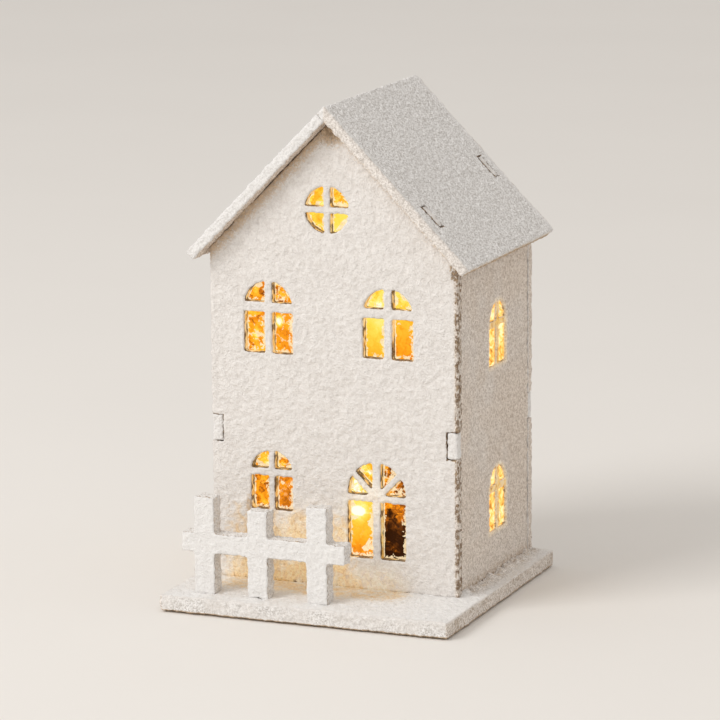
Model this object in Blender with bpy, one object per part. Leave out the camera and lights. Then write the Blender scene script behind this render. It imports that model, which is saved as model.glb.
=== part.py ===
"""A lit wooden village house on a square base, with a piece of fence in front of its door.

Flat boards slot together: the gabled front and rear walls take tabs of the side walls in their
edges, and their own tabs stand in slots of the two roof boards. Amber film backs every window,
and a wire of small lamps runs behind the front wall from a battery box let into the base.

Units are metres, +Z is up, +X is to the right of the front wall and +Y goes to the back. The
origin is the centre of the whole object's box, on the surface that it stands on.
"""

import math

import bmesh
import bpy
from mathutils import Vector

# Clearances
SEAT_GAP = 0.0003
RUNNING_GAP = 0.0003

# Base and feet
BASE_WIDTH = 0.1460
BASE_DEPTH = 0.1460
BASE_THICKNESS = 0.0076
PAD_RADIUS = 0.0055
PAD_THICKNESS = 0.0008
PAD_INSET = 0.0120

# House, set back from the base's sides by a margin
SIDE_MARGIN = 0.0100
WALL_WIDTH = BASE_WIDTH - 2 * SIDE_MARGIN
WALL_BOARD = 0.0050
SIDE_BOARD = 0.0050
SIDE_RECESS = 0.0004
HOUSE_DEPTH = 0.1020
SHOULDER_HEIGHT = 0.1602
HOUSE_SHIFT_X = -0.0012

# Roof
ROOF_PITCH = math.radians(45.5)
ROOF_BOARD = 0.0050
EAVE_REACH = 0.0087
FRONT_OVERHANG = 0.0090
REAR_OVERHANG = 0.0075

# Tabs: those of the side walls stand at a height, those of the gables at a distance down the roof
TAB_LENGTH = 0.0126
SIDE_TAB_HEIGHT = 0.0663
FRONT_TAB_DOWN_ROOF = 0.0708
REAR_TAB_DOWN_ROOF = 0.0588

# Fence, a thicker board: each post has its centre from the middle of the front wall and its height
FENCE_BOARD = 0.0085
FENCE_SETBACK = 0.0100
POST_WIDTH = 0.0102
POST_LEFT = dict(x=-0.0529, height=0.0465)
POST_MIDDLE = dict(x=-0.0256, height=0.0417)
POST_RIGHT = dict(x=0.0048, height=0.0460)
POSTS = (POST_LEFT, POST_MIDDLE, POST_RIGHT)
RAIL_BOTTOM = 0.0195
RAIL_HEIGHT = 0.0093
RAIL_LEFT_REACH = 0.0065
RAIL_RIGHT_REACH = 0.0089

# Windows: x is the centre from the wall's middle, sill the foot's height above the wall's, side the
# height of the upright edges below the arch, and drop how far the transom lies below the arch's centre
ARC_STEPS = 12
FILM_THICKNESS = 0.0005
FILM_MARGIN = 0.0035
ROUND_CENTRE_X = -0.0027
ROUND_CENTRE_HEIGHT = 0.1815
ROUND_RADIUS = 0.0113
ROUND_BAR = 0.0030
UPPER_LEFT = dict(
    x=-0.0333, sill=0.1109, side=0.0223, drop=0.0002, width=0.0250, mullion=0.0036, transom=0.0046
)
UPPER_RIGHT = dict(
    x=0.0278, sill=0.1119, side=0.0212, drop=-0.0005, width=0.0254, mullion=0.0040, transom=0.0046
)
LOWER_LEFT = dict(
    x=-0.0324, sill=0.0344, side=0.0181, drop=-0.0003, width=0.0218, mullion=0.0029, transom=0.0034
)
DOOR = dict(
    x=0.0215, sill=0.0147, side=0.0322, drop=0.0027, width=0.0295, mullion=0.0038, transom=0.0032
)
DOOR_RAY_ANGLE = math.radians(45.0)
DOOR_RAY_WIDTH = 0.0028
FRONT_WINDOWS = {"upper_left": UPPER_LEFT, "upper_right": UPPER_RIGHT, "lower_left": LOWER_LEFT}
REAR_WINDOW_X = 0.0300
REAR_WINDOWS = {
    "upper_left": dict(UPPER_LEFT, x=-REAR_WINDOW_X),
    "upper_right": dict(UPPER_LEFT, x=REAR_WINDOW_X),
    "lower_left": dict(LOWER_LEFT, x=-REAR_WINDOW_X),
    "lower_right": dict(LOWER_LEFT, x=REAR_WINDOW_X),
}
SIDE_WINDOW_FROM_FRONT = 0.0552
SIDE_UPPER = dict(
    x=0.0, sill=0.1018, side=0.0196, drop=-0.0006, width=0.0226, mullion=0.0030, transom=0.0032
)
SIDE_LOWER_SILL = 0.0207
SIDE_LOWER_SIDE = 0.0201
SIDE_LOWER = dict(SIDE_UPPER, sill=SIDE_LOWER_SILL, side=SIDE_LOWER_SIDE)
SIDE_WINDOWS = {"upper": SIDE_UPPER, "lower": SIDE_LOWER}

# Cells
CELL_RADIUS = 0.00525
CELL_LENGTH = 0.0445
CELL_SHOULDER = 0.0010
CELL_NUB_RADIUS = 0.0019
CELL_EDGE = 0.0004

# Battery box, let into the base from below
BOX_WALL = 0.0026
BOX_END_WALL = 0.0015
BOX_ROOF = 0.0015
BOX_FROM_FRONT_WALL = 0.0530
HINGE_BAY_WALL = 0.0012
SWITCH_BAY_LENGTH = 0.0072
SWITCH_BAY_WIDTH = 0.0150
SWITCH_BAY_DEPTH = 0.0070
CONTACT_THICKNESS = 0.0005
CONTACT_WIDTH = 0.0070
CONTACT_HEIGHT = 0.0080
SPRING_LENGTH = 0.0040
SPRING_RADIUS = 0.0028
SPRING_WIRE = 0.0003
SPRING_TURNS = 4
SPRING_STEPS = 10

# Battery cover
COVER_THICKNESS = 0.0016
COVER_RECESS = 0.0003
COVER_LEDGE = 0.0010
PIN_RADIUS = 0.0008
PIN_LENGTH = 0.0009
PIN_HEIGHT = 0.0013
PIN_FROM_END = 0.0016
FINGER_WIDTH = 0.0030
FINGER_THICKNESS = 0.0010
FINGER_HEIGHT = 0.0030
GRIP_LENGTH = 0.0080
GRIP_WIDTH = 0.0012
GRIP_DEPTH = 0.0005
GRIP_COUNT = 3
GRIP_SPACING = 0.0024

# Slide switch
SLIDER_LENGTH = 0.0036
SLIDER_WIDTH = 0.0030
SLIDER_TRAVEL = 0.0030
SLIDER_POCKET_DEPTH = 0.0040
SLIDER_RECESS = 0.0004

# Lamps: distance right of the front wall's middle and height above its foot
LAMP_RADIUS = 0.0015
LAMP_LENGTH = 0.0040
LAMP_RINGS = 8
LEAD_RADIUS = 0.0006
LAMP_1 = dict(x=0.0064, height=0.0350)
LAMP_2 = dict(x=0.0068, height=0.0475)
LAMP_3 = dict(x=-0.0405, height=0.1185)
LAMP_4 = dict(x=-0.0330, height=0.1232)
LAMP_5 = dict(x=-0.0028, height=0.1790)
LAMP_6 = dict(x=0.0262, height=0.1225)
LAMPS = (LAMP_1, LAMP_2, LAMP_3, LAMP_4, LAMP_5, LAMP_6)
LEAD_TAIL = 0.0080
LEAD_BEND = 0.0030
LEAD_STEP_OUT = 0.0060
LEAD_RISE_FROM = 0.0120
LEAD_IN_BOX = 0.0020
LEAD_STEPS = 5

# Places that follow from the sizes above
BASE_BOTTOM = PAD_THICKNESS
BASE_TOP = BASE_BOTTOM + BASE_THICKNESS
WALL_FOOT = BASE_TOP + SEAT_GAP
OVERALL_DEPTH = BASE_DEPTH + REAR_OVERHANG
BASE_FRONT = -OVERALL_DEPTH / 2
BASE_REAR = BASE_FRONT + BASE_DEPTH
REAR_FACE = BASE_REAR
FRONT_FACE = REAR_FACE - HOUSE_DEPTH
HALF_WALL = WALL_WIDTH / 2
PITCH_TAN = math.tan(ROOF_PITCH)
PITCH_COS = math.cos(ROOF_PITCH)
PITCH_SIN = math.sin(ROOF_PITCH)
APEX_HEIGHT = SHOULDER_HEIGHT + HALF_WALL * PITCH_TAN
NOTCH_DEPTH = SIDE_RECESS + SIDE_BOARD + SEAT_GAP
SIDE_FACE = HALF_WALL - SIDE_RECESS

# Colours, with roughness and metallic value
FLOCK = ((0.86, 0.83, 0.78), 0.95, 0.0)
FILM = ((0.90, 0.42, 0.06), 0.25, 0.0)
BLACK_PLASTIC = ((0.03, 0.03, 0.03), 0.45, 0.0)
WHITE_PLASTIC = ((0.80, 0.80, 0.78), 0.40, 0.0)
STEEL = ((0.62, 0.61, 0.58), 0.30, 1.0)
CELL_JACKET = ((0.10, 0.22, 0.16), 0.35, 0.0)
COPPER = ((0.72, 0.42, 0.26), 0.35, 1.0)
LAMP = ((1.00, 0.86, 0.55), 0.20, 0.0)
FELT = ((0.20, 0.17, 0.14), 0.95, 0.0)


def clear_scene():
    for existing in list(bpy.data.objects):
        bpy.data.objects.remove(existing, do_unlink=True)


def material(name, look):
    colour, roughness, metallic = look
    made = bpy.data.materials.new(name)
    made.use_nodes = True
    shader = made.node_tree.nodes["Principled BSDF"]
    shader.inputs["Base Color"].default_value = (*colour, 1.0)
    shader.inputs["Roughness"].default_value = roughness
    shader.inputs["Metallic"].default_value = metallic
    return made


def add_object(name, shape, look, location=(0.0, 0.0, 0.0)):
    """Takes a bmesh over into a named object with its own material."""
    bmesh.ops.recalc_face_normals(shape, faces=shape.faces)
    mesh = bpy.data.meshes.new(name)
    shape.to_mesh(mesh)
    shape.free()
    made = bpy.data.objects.new(name, mesh)
    made.location = location
    bpy.context.scene.collection.objects.link(made)
    if look:
        mesh.materials.append(material(name, look))
    return made


def add_prism(shape, outline, low, high, place):
    """Extrudes a flat outline from low to high. place(a, b, level) gives the point in space."""
    bottom = [shape.verts.new(place(a, b, low)) for a, b in outline]
    top = [shape.verts.new(place(a, b, high)) for a, b in outline]
    count = len(outline)
    shape.faces.new(bottom)
    shape.faces.new(list(reversed(top)))
    for i in range(count):
        j = (i + 1) % count
        shape.faces.new((bottom[j], bottom[i], top[i], top[j]))


def facing_front(a, b, level):
    return (a, level, b)


def facing_side(a, b, level):
    return (level, a, b)


def facing_up(a, b, level):
    return (a, b, level)


def rectangle(left, right, bottom, top):
    return [(left, bottom), (right, bottom), (right, top), (left, top)]


def prism(outlines, low, high, place):
    shape = bmesh.new()
    for outline in outlines:
        add_prism(shape, outline, low, high, place)
    return shape


def box_shape(low, high):
    return prism([rectangle(low[0], high[0], low[1], high[1])], low[2], high[2], facing_up)


def cutter(name, shape):
    made = add_object(name, shape, None)
    made.hide_render = True
    made.display_type = "WIRE"
    return made


def apply_boolean(target, other, operation="DIFFERENCE"):
    modifier = target.modifiers.new(other.name, "BOOLEAN")
    modifier.operation = operation
    modifier.solver = "EXACT"
    modifier.object = other


def shade_round(target, angle=40.0):
    target.data.shade_smooth()
    target.data.set_sharp_from_angle(angle=math.radians(angle))


def arc(centre, radius, first, last, steps):
    turn = (last - first) / steps
    return [
        (centre[0] + radius * math.cos(first + i * turn), centre[1] + radius * math.sin(first + i * turn))
        for i in range(steps + 1)
    ]


def arch_height(window):
    return window["sill"] + window["side"]


def bar_centre(window):
    return (window["x"], arch_height(window) - window["drop"])


def arched_outline(window, grow=0.0):
    """The whole window: a rectangle under a half circle."""
    half = window["width"] / 2 + grow
    x, sill = window["x"], window["sill"] - grow
    centre = (x, arch_height(window))
    return [(x - half, sill), (x + half, sill)] + arc(centre, half, 0.0, math.pi, 2 * ARC_STEPS)


def round_outline(grow=0.0):
    centre = (ROUND_CENTRE_X, ROUND_CENTRE_HEIGHT)
    return arc(centre, ROUND_RADIUS + grow, 0.0, 2 * math.pi, 4 * ARC_STEPS)[:-1]


def clipped(outline, centre, normal, away):
    """The part of a convex outline that lies away or more from a line through centre."""
    heights = [(a - centre[0]) * normal[0] + (b - centre[1]) * normal[1] - away for a, b in outline]
    kept = []
    for i, (point, height) in enumerate(zip(outline, heights)):
        j = (i + 1) % len(outline)
        if height >= 0:
            kept.append(point)
        if height * heights[j] < 0:
            share = height / (height - heights[j])
            kept.append(tuple(a + share * (b - a) for a, b in zip(point, outline[j])))
    return kept


def quarters(outline, centre, mullion, transom):
    """The outline's parts beside an upright bar and above and below a level one, by side and rise."""
    found = {}
    for side in (1, -1):
        beside = clipped(outline, centre, (side, 0), mullion / 2)
        for rise in (1, -1):
            found[side, rise] = clipped(beside, centre, (0, rise), transom / 2)
    return found


def window_quarters(window):
    return quarters(arched_outline(window), bar_centre(window), window["mullion"], window["transom"])


def window_panes(window):
    return list(window_quarters(window).values())


def round_panes():
    centre = (ROUND_CENTRE_X, ROUND_CENTRE_HEIGHT)
    return list(quarters(round_outline(), centre, ROUND_BAR, ROUND_BAR).values())


def door_panes():
    """Two tall panes under a fanlight whose slanting rays halve each upper quarter."""
    centre = bar_centre(DOOR)
    panes = []
    for (side, rise), pane in window_quarters(DOOR).items():
        if rise < 0:
            panes.append(pane)
            continue
        for turn in (1, -1):
            normal = (-turn * side * math.sin(DOOR_RAY_ANGLE), turn * math.cos(DOOR_RAY_ANGLE))
            panes.append(clipped(pane, centre, normal, DOOR_RAY_WIDTH / 2))
    return panes


def slope_point(along, out, side):
    """A point of the gable's plane: along the roof line from its apex, and out from it."""
    x = side * (along * PITCH_COS + out * PITCH_SIN)
    return (x, APEX_HEIGHT - along * PITCH_SIN + out * PITCH_COS)


def along_from_ridge(down_roof):
    """Distance along the gable's edge for one measured down the roof from its ridge corner."""
    return down_roof - (ROOF_BOARD + SEAT_GAP) * PITCH_TAN


def gable_outline(tab_down_roof):
    """The gabled wall with roof tabs on its slopes and notches in its upright edges."""
    reach = ROOF_BOARD + SEAT_GAP
    first = along_from_ridge(tab_down_roof) - TAB_LENGTH / 2
    last = first + TAB_LENGTH
    notch_low = SIDE_TAB_HEIGHT - SEAT_GAP
    notch_high = SIDE_TAB_HEIGHT + TAB_LENGTH + SEAT_GAP
    right = [
        (HALF_WALL, 0.0),
        (HALF_WALL, notch_low),
        (HALF_WALL - NOTCH_DEPTH, notch_low),
        (HALF_WALL - NOTCH_DEPTH, notch_high),
        (HALF_WALL, notch_high),
        (HALF_WALL, SHOULDER_HEIGHT),
        slope_point(last, 0.0, 1),
        slope_point(last, reach, 1),
        slope_point(first, reach, 1),
        slope_point(first, 0.0, 1),
    ]
    left = [(-x, z) for x, z in reversed(right)]
    return right + [(0.0, APEX_HEIGHT)] + left


def to_wall(outline):
    """From the wall's middle and foot to the object's frame."""
    return [(x + HOUSE_SHIFT_X, z + WALL_FOOT) for x, z in outline]


def make_gable_wall(name, front, tab_down_roof, panes):
    body = prism([to_wall(gable_outline(tab_down_roof))], front, front + WALL_BOARD, facing_front)
    wall = add_object(name, body, FLOCK)
    outlines = [to_wall(pane) for pane in panes]
    holes = prism(outlines, front - WALL_BOARD, front + 2 * WALL_BOARD, facing_front)
    apply_boolean(wall, cutter(name + "_panes", holes))
    return wall


def make_gable_film(name, outline, inner_face, inward):
    """A sheet glued to a gable wall's inner face, which lies towards inward."""
    near = inner_face + inward * SEAT_GAP
    far = near + inward * FILM_THICKNESS
    add_object(name, prism([to_wall(outline)], min(near, far), max(near, far), facing_front), FILM)


def make_front_and_rear():
    front_panes = round_panes() + door_panes()
    for window in FRONT_WINDOWS.values():
        front_panes += window_panes(window)
    rear_panes = round_panes()
    for window in REAR_WINDOWS.values():
        rear_panes += window_panes(window)
    rear_front = REAR_FACE - WALL_BOARD
    make_gable_wall("front_wall", FRONT_FACE, FRONT_TAB_DOWN_ROOF, front_panes)
    make_gable_wall("rear_wall", rear_front, REAR_TAB_DOWN_ROOF, rear_panes)
    inner = FRONT_FACE + WALL_BOARD
    make_gable_film("film_front_round", round_outline(FILM_MARGIN), inner, 1)
    make_gable_film("film_front_door", arched_outline(DOOR, FILM_MARGIN), inner, 1)
    for place, window in FRONT_WINDOWS.items():
        make_gable_film("film_front_" + place, arched_outline(window, FILM_MARGIN), inner, 1)
    make_gable_film("film_rear_round", round_outline(FILM_MARGIN), rear_front, -1)
    for place, window in REAR_WINDOWS.items():
        make_gable_film("film_rear_" + place, arched_outline(window, FILM_MARGIN), rear_front, -1)


def side_outline():
    """A side wall in its own plane, with a tab at each end."""
    front = FRONT_FACE + WALL_BOARD + SEAT_GAP
    rear = REAR_FACE - WALL_BOARD - SEAT_GAP
    low = WALL_FOOT + SIDE_TAB_HEIGHT
    high = low + TAB_LENGTH
    # The square top edge meets the roof's underside at its outer corner.
    top = WALL_FOOT + SHOULDER_HEIGHT + SIDE_RECESS * PITCH_TAN
    return [
        (front, WALL_FOOT), (rear, WALL_FOOT), (rear, low), (REAR_FACE, low), (REAR_FACE, high),
        (rear, high), (rear, top), (front, top), (front, high), (FRONT_FACE, high), (FRONT_FACE, low),
        (front, low),
    ]


def to_side(outline):
    middle = FRONT_FACE + SIDE_WINDOW_FROM_FRONT
    return [(y + middle, z + WALL_FOOT) for y, z in outline]


def make_side_wall(name, side):
    outer = HOUSE_SHIFT_X + side * SIDE_FACE
    inner = outer - side * SIDE_BOARD
    low, high = min(outer, inner), max(outer, inner)
    wall = add_object(name, prism([side_outline()], low, high, facing_side), FLOCK)
    panes = [pane for window in SIDE_WINDOWS.values() for pane in window_panes(window)]
    holes = prism([to_side(pane) for pane in panes], low - SIDE_BOARD, high + SIDE_BOARD, facing_side)
    apply_boolean(wall, cutter(name + "_panes", holes))
    near = inner - side * SEAT_GAP
    far = near - side * FILM_THICKNESS
    for place, window in SIDE_WINDOWS.items():
        outline = to_side(arched_outline(window, FILM_MARGIN))
        sheet = prism([outline], min(near, far), max(near, far), facing_side)
        add_object("film_" + name.replace("_wall", "_") + place, sheet, FILM)


def crossing(normal_a, level_a, normal_b, level_b):
    """Where two lines of the roof's cross-section meet, each given by a normal and a distance."""
    det = normal_a.x * normal_b.y - normal_a.y * normal_b.x
    x = (level_a * normal_b.y - level_b * normal_a.y) / det
    z = (normal_a.x * level_b - normal_b.x * level_a) / det
    return (x, z)


def roof_sections():
    """Cross-sections of the right board, which covers the ridge, and of the left, which butts under it."""
    ridge = Vector((0.0, APEX_HEIGHT + (ROOF_BOARD + SEAT_GAP) / PITCH_COS))
    right_out = Vector((PITCH_SIN, PITCH_COS))
    left_out = Vector((-PITCH_SIN, PITCH_COS))
    half = HALF_WALL + EAVE_REACH
    eave = Vector((half, ridge.y - half * PITCH_TAN))
    right = [ridge, eave, eave - right_out * ROOF_BOARD, ridge - right_out * ROOF_BOARD]
    butt = right_out.dot(ridge) - ROOF_BOARD - SEAT_GAP
    outer = left_out.dot(ridge)
    left_eave = Vector((-eave.x, eave.y))
    left = [
        crossing(left_out, outer, right_out, butt),
        left_eave,
        left_eave - left_out * ROOF_BOARD,
        crossing(left_out, outer - ROOF_BOARD, right_out, butt),
    ]
    return {"roof_right": [tuple(p) for p in right], "roof_left": [tuple(p) for p in left]}


def roof_slot(side, down_roof, front):
    """The slot for one gable tab, as a slanting block."""
    first = along_from_ridge(down_roof) - TAB_LENGTH / 2 - SEAT_GAP
    last = first + TAB_LENGTH + 2 * SEAT_GAP
    reach = 3 * ROOF_BOARD
    corners = [(first, -reach), (last, -reach), (last, reach), (first, reach)]
    outline = to_wall([slope_point(along, out, side) for along, out in corners])
    return outline, front - SEAT_GAP, front + WALL_BOARD + SEAT_GAP


def make_roof():
    low = FRONT_FACE - FRONT_OVERHANG
    high = REAR_FACE + REAR_OVERHANG
    tabs = ((FRONT_TAB_DOWN_ROOF, FRONT_FACE), (REAR_TAB_DOWN_ROOF, REAR_FACE - WALL_BOARD))
    for name, section in roof_sections().items():
        side = 1 if name == "roof_right" else -1
        board = add_object(name, prism([to_wall(section)], low, high, facing_front), FLOCK)
        slots = bmesh.new()
        for down_roof, front in tabs:
            outline, near, far = roof_slot(side, down_roof, front)
            add_prism(slots, outline, near, far, facing_front)
        apply_boolean(board, cutter(name + "_slots", slots))


def fence_outline():
    """One board: uneven posts joined by a rail that runs past both end posts."""
    rail_top = RAIL_BOTTOM + RAIL_HEIGHT
    half = POST_WIDTH / 2
    left_end = POST_LEFT["x"] - half - RAIL_LEFT_REACH
    right_end = POST_RIGHT["x"] + half + RAIL_RIGHT_REACH
    under = [(left_end, RAIL_BOTTOM)]
    over = [(left_end, rail_top)]
    for post in POSTS:
        x, height = post["x"], post["height"]
        under += [(x - half, RAIL_BOTTOM), (x - half, 0.0), (x + half, 0.0), (x + half, RAIL_BOTTOM)]
        over += [(x - half, rail_top), (x - half, height), (x + half, height), (x + half, rail_top)]
    under.append((right_end, RAIL_BOTTOM))
    over.append((right_end, rail_top))
    return under + list(reversed(over))


def make_fence():
    front = BASE_FRONT + FENCE_SETBACK
    add_object("fence", prism([to_wall(fence_outline())], front, front + FENCE_BOARD, facing_front), FLOCK)


# Battery box sizes, worked out from the cells, the cover and the switch
CELL_BAY_LENGTH = CELL_LENGTH + SPRING_LENGTH + 2 * CONTACT_THICKNESS + 5 * SEAT_GAP
CELL_BAY_WIDTH = 4 * CELL_RADIUS + 3 * SEAT_GAP
HINGE_SWEEP = math.hypot(PIN_FROM_END, PIN_HEIGHT)
HINGE_BAY_LENGTH = 2 * (HINGE_SWEEP + RUNNING_GAP)
BOX_WIDTH = CELL_BAY_WIDTH + 2 * BOX_WALL
BAY_LENGTHS = HINGE_BAY_LENGTH + HINGE_BAY_WALL + CELL_BAY_LENGTH + BOX_WALL + SWITCH_BAY_LENGTH
BOX_LENGTH = BAY_LENGTHS + 2 * BOX_END_WALL
BOX_X = HOUSE_SHIFT_X
BOX_Y = FRONT_FACE + BOX_FROM_FRONT_WALL
BOX_LEFT = BOX_X - BOX_LENGTH / 2
COVER_BOTTOM = BASE_BOTTOM + COVER_RECESS
COVER_TOP = COVER_BOTTOM + COVER_THICKNESS
LEDGE_HEIGHT = COVER_TOP + SEAT_GAP
CELL_BAY_FLOOR = LEDGE_HEIGHT + SEAT_GAP
CELL_AXIS_HEIGHT = CELL_BAY_FLOOR + CELL_RADIUS
CELL_BAY_TOP = CELL_AXIS_HEIGHT + CELL_RADIUS + SEAT_GAP
BOX_TOP = CELL_BAY_TOP + BOX_ROOF
HINGE_BAY_LEFT = BOX_LEFT + BOX_END_WALL
HINGE_X = HINGE_BAY_LEFT + HINGE_SWEEP + RUNNING_GAP
HINGE_HEIGHT = COVER_BOTTOM + PIN_HEIGHT
CELL_BAY_LEFT = HINGE_BAY_LEFT + HINGE_BAY_LENGTH + HINGE_BAY_WALL
CELL_BAY_RIGHT = CELL_BAY_LEFT + CELL_BAY_LENGTH
COVER_LEFT = HINGE_X - PIN_FROM_END
COVER_RIGHT = CELL_BAY_RIGHT + COVER_LEDGE
COVER_HALF_WIDTH = CELL_BAY_WIDTH / 2 + COVER_LEDGE
SWITCH_BAY_LEFT = CELL_BAY_RIGHT + BOX_WALL
SWITCH_BAY_RIGHT = SWITCH_BAY_LEFT + SWITCH_BAY_LENGTH
SWITCH_BAY_TOP = BASE_BOTTOM + SWITCH_BAY_DEPTH
CELL_OFFSET = CELL_RADIUS + SEAT_GAP / 2
LEAD_START_X = BOX_X - BOX_LENGTH / 4


def make_base():
    half = BASE_WIDTH / 2
    body = box_shape((-half, BASE_FRONT, BASE_BOTTOM), (half, BASE_REAR, BASE_TOP))
    plate = add_object("base_plate", body, FLOCK)
    reach_x = BOX_LENGTH / 2 + SEAT_GAP
    reach_y = BOX_WIDTH / 2 + SEAT_GAP
    hole = box_shape(
        (BOX_X - reach_x, BOX_Y - reach_y, BASE_BOTTOM - BASE_THICKNESS),
        (BOX_X + reach_x, BOX_Y + reach_y, BASE_TOP + BASE_THICKNESS),
    )
    apply_boolean(plate, cutter("base_plate_hole", hole))


def make_pads():
    """Four thin felt pads under the corners of the base."""
    top = BASE_BOTTOM - SEAT_GAP
    places = [
        (sx * (BASE_WIDTH / 2 - PAD_INSET), y)
        for sx in (-1, 1)
        for y in (BASE_FRONT + PAD_INSET, BASE_REAR - PAD_INSET)
    ]
    for number, centre in enumerate(places, 1):
        ring = arc(centre, PAD_RADIUS, 0.0, 2 * math.pi, 2 * ARC_STEPS)[:-1]
        add_object(f"foot_pad_{number}", prism([ring], 0.0, top, facing_up), FELT)


def make_battery_box():
    half = BOX_WIDTH / 2
    body = box_shape((BOX_LEFT, BOX_Y - half, BASE_BOTTOM), (BOX_LEFT + BOX_LENGTH, BOX_Y + half, BOX_TOP))
    box = add_object("battery_box", body, BLACK_PLASTIC)
    below = BASE_BOTTOM - BOX_ROOF
    cell_half = CELL_BAY_WIDTH / 2
    cover_half = COVER_HALF_WIDTH + RUNNING_GAP
    hinge_top = HINGE_HEIGHT + HINGE_SWEEP + RUNNING_GAP
    bays = {
        "cell_bay": (CELL_BAY_LEFT, CELL_BAY_RIGHT, cell_half, CELL_BAY_TOP),
        "cover_rebate": (HINGE_BAY_LEFT, COVER_RIGHT + RUNNING_GAP, cover_half, LEDGE_HEIGHT),
        "hinge_bay": (HINGE_BAY_LEFT, HINGE_BAY_LEFT + HINGE_BAY_LENGTH, cover_half, hinge_top),
        "switch_bay": (SWITCH_BAY_LEFT, SWITCH_BAY_RIGHT, SWITCH_BAY_WIDTH / 2, SWITCH_BAY_TOP),
    }
    for name, (left, right, reach, top) in bays.items():
        shape = box_shape((left, BOX_Y - reach, below), (right, BOX_Y + reach, top))
        apply_boolean(box, cutter("battery_box_" + name, shape))
    ring = arc((HINGE_X, HINGE_HEIGHT), PIN_RADIUS + RUNNING_GAP, 0.0, 2 * math.pi, 2 * ARC_STEPS)[:-1]
    bore = prism([ring], BOX_Y - half - BOX_WALL, BOX_Y + half + BOX_WALL, facing_front)
    apply_boolean(box, cutter("battery_box_pin_bore", bore))
    ring = arc((LEAD_START_X, BOX_Y), LEAD_RADIUS + RUNNING_GAP, 0.0, 2 * math.pi, 2 * ARC_STEPS)[:-1]
    outlet = prism([ring], CELL_AXIS_HEIGHT, BOX_TOP + BOX_ROOF, facing_up)
    apply_boolean(box, cutter("battery_box_lead_outlet", outlet))


def make_cover():
    """The cover turns on a bar along its left end, whose ends stand in the box as pins.

    Its origin lies on the bar's axis.
    """
    pivot = Vector((HINGE_X, BOX_Y, HINGE_HEIGHT))
    low = Vector((COVER_LEFT, BOX_Y - COVER_HALF_WIDTH, COVER_BOTTOM)) - pivot
    high = Vector((COVER_RIGHT, BOX_Y + COVER_HALF_WIDTH, COVER_TOP)) - pivot
    cover = add_object("battery_cover", box_shape(low, high), BLACK_PLASTIC, pivot)
    ring = arc((0.0, 0.0), PIN_RADIUS, 0.0, 2 * math.pi, 2 * ARC_STEPS)[:-1]
    reach = COVER_HALF_WIDTH + RUNNING_GAP + PIN_LENGTH
    pins = cutter("battery_cover_pins", prism([ring], -reach, reach, facing_front))
    finger_right = CELL_BAY_RIGHT - RUNNING_GAP - HINGE_X
    finger = box_shape(
        (finger_right - FINGER_THICKNESS, -FINGER_WIDTH / 2, 0.0),
        (finger_right, FINGER_WIDTH / 2, high.z + FINGER_HEIGHT),
    )
    snap = cutter("battery_cover_finger", finger)
    ribs = bmesh.new()
    for row in range(GRIP_COUNT):
        start = high.x - GRIP_LENGTH + row * GRIP_SPACING
        groove = rectangle(start, start + GRIP_WIDTH, -GRIP_LENGTH, GRIP_LENGTH)
        add_prism(ribs, groove, low.z - GRIP_DEPTH, low.z + GRIP_DEPTH, facing_up)
    grip = cutter("battery_cover_grip", ribs)
    for helper in (pins, snap, grip):
        helper.location = pivot
    apply_boolean(cover, pins, "UNION")
    apply_boolean(cover, snap, "UNION")
    apply_boolean(cover, grip)


def make_cell(name, y, turned):
    """A cell along X, its nub towards +X unless it is turned."""
    half = CELL_LENGTH / 2
    body_end = half - CELL_SHOULDER
    profile = [
        (-half, 0.0), (-half, CELL_RADIUS - CELL_EDGE), (-half + CELL_EDGE, CELL_RADIUS),
        (body_end - CELL_EDGE, CELL_RADIUS), (body_end, CELL_RADIUS - CELL_EDGE),
        (body_end, CELL_NUB_RADIUS), (half, CELL_NUB_RADIUS), (half, 0.0),
    ]
    shape = bmesh.new()
    verts = [shape.verts.new((x, 0.0, r)) for x, r in profile]
    edges = [shape.edges.new(pair) for pair in zip(verts, verts[1:])]
    bmesh.ops.spin(
        shape, geom=verts + edges, cent=(0, 0, 0), axis=(1, 0, 0), dvec=(0, 0, 0), angle=2 * math.pi,
        steps=2 * ARC_STEPS, use_merge=True,
    )
    bmesh.ops.remove_doubles(shape, verts=shape.verts, dist=1e-6)
    behind = CONTACT_THICKNESS + 2 * SEAT_GAP
    if turned:
        middle = CELL_BAY_LEFT + behind + half
    else:
        middle = CELL_BAY_RIGHT - behind - half
    cell = add_object(name, shape, CELL_JACKET, (middle, y, CELL_AXIS_HEIGHT))
    if turned:
        cell.rotation_euler = (0.0, 0.0, math.pi)
    shade_round(cell)


def make_contact(name, left, ys):
    low_y = min(ys) - CONTACT_WIDTH / 2
    high_y = max(ys) + CONTACT_WIDTH / 2
    low = (left, low_y, CELL_AXIS_HEIGHT - CONTACT_HEIGHT / 2)
    high = (left + CONTACT_THICKNESS, high_y, CELL_AXIS_HEIGHT + CONTACT_HEIGHT / 2)
    add_object(name, box_shape(low, high), STEEL)


def make_spring(name, left, y):
    """A coil between a contact plate and the flat end of a cell."""
    steps = SPRING_TURNS * SPRING_STEPS
    length = SPRING_LENGTH - 2 * SPRING_WIRE
    curve = bpy.data.curves.new(name, "CURVE")
    curve.dimensions = "3D"
    curve.bevel_depth = SPRING_WIRE
    curve.bevel_resolution = 1
    curve.use_fill_caps = True
    spline = curve.splines.new("POLY")
    spline.points.add(steps)
    for i, point in enumerate(spline.points):
        turn = 2 * math.pi * i / SPRING_STEPS
        x = left + SPRING_WIRE + length * i / steps
        across = SPRING_RADIUS * math.cos(turn)
        up = SPRING_RADIUS * math.sin(turn)
        point.co = (x, y + across, CELL_AXIS_HEIGHT + up, 1.0)
    coil = bpy.data.objects.new(name, curve)
    bpy.context.scene.collection.objects.link(coil)
    curve.materials.append(material(name, STEEL))


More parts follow.
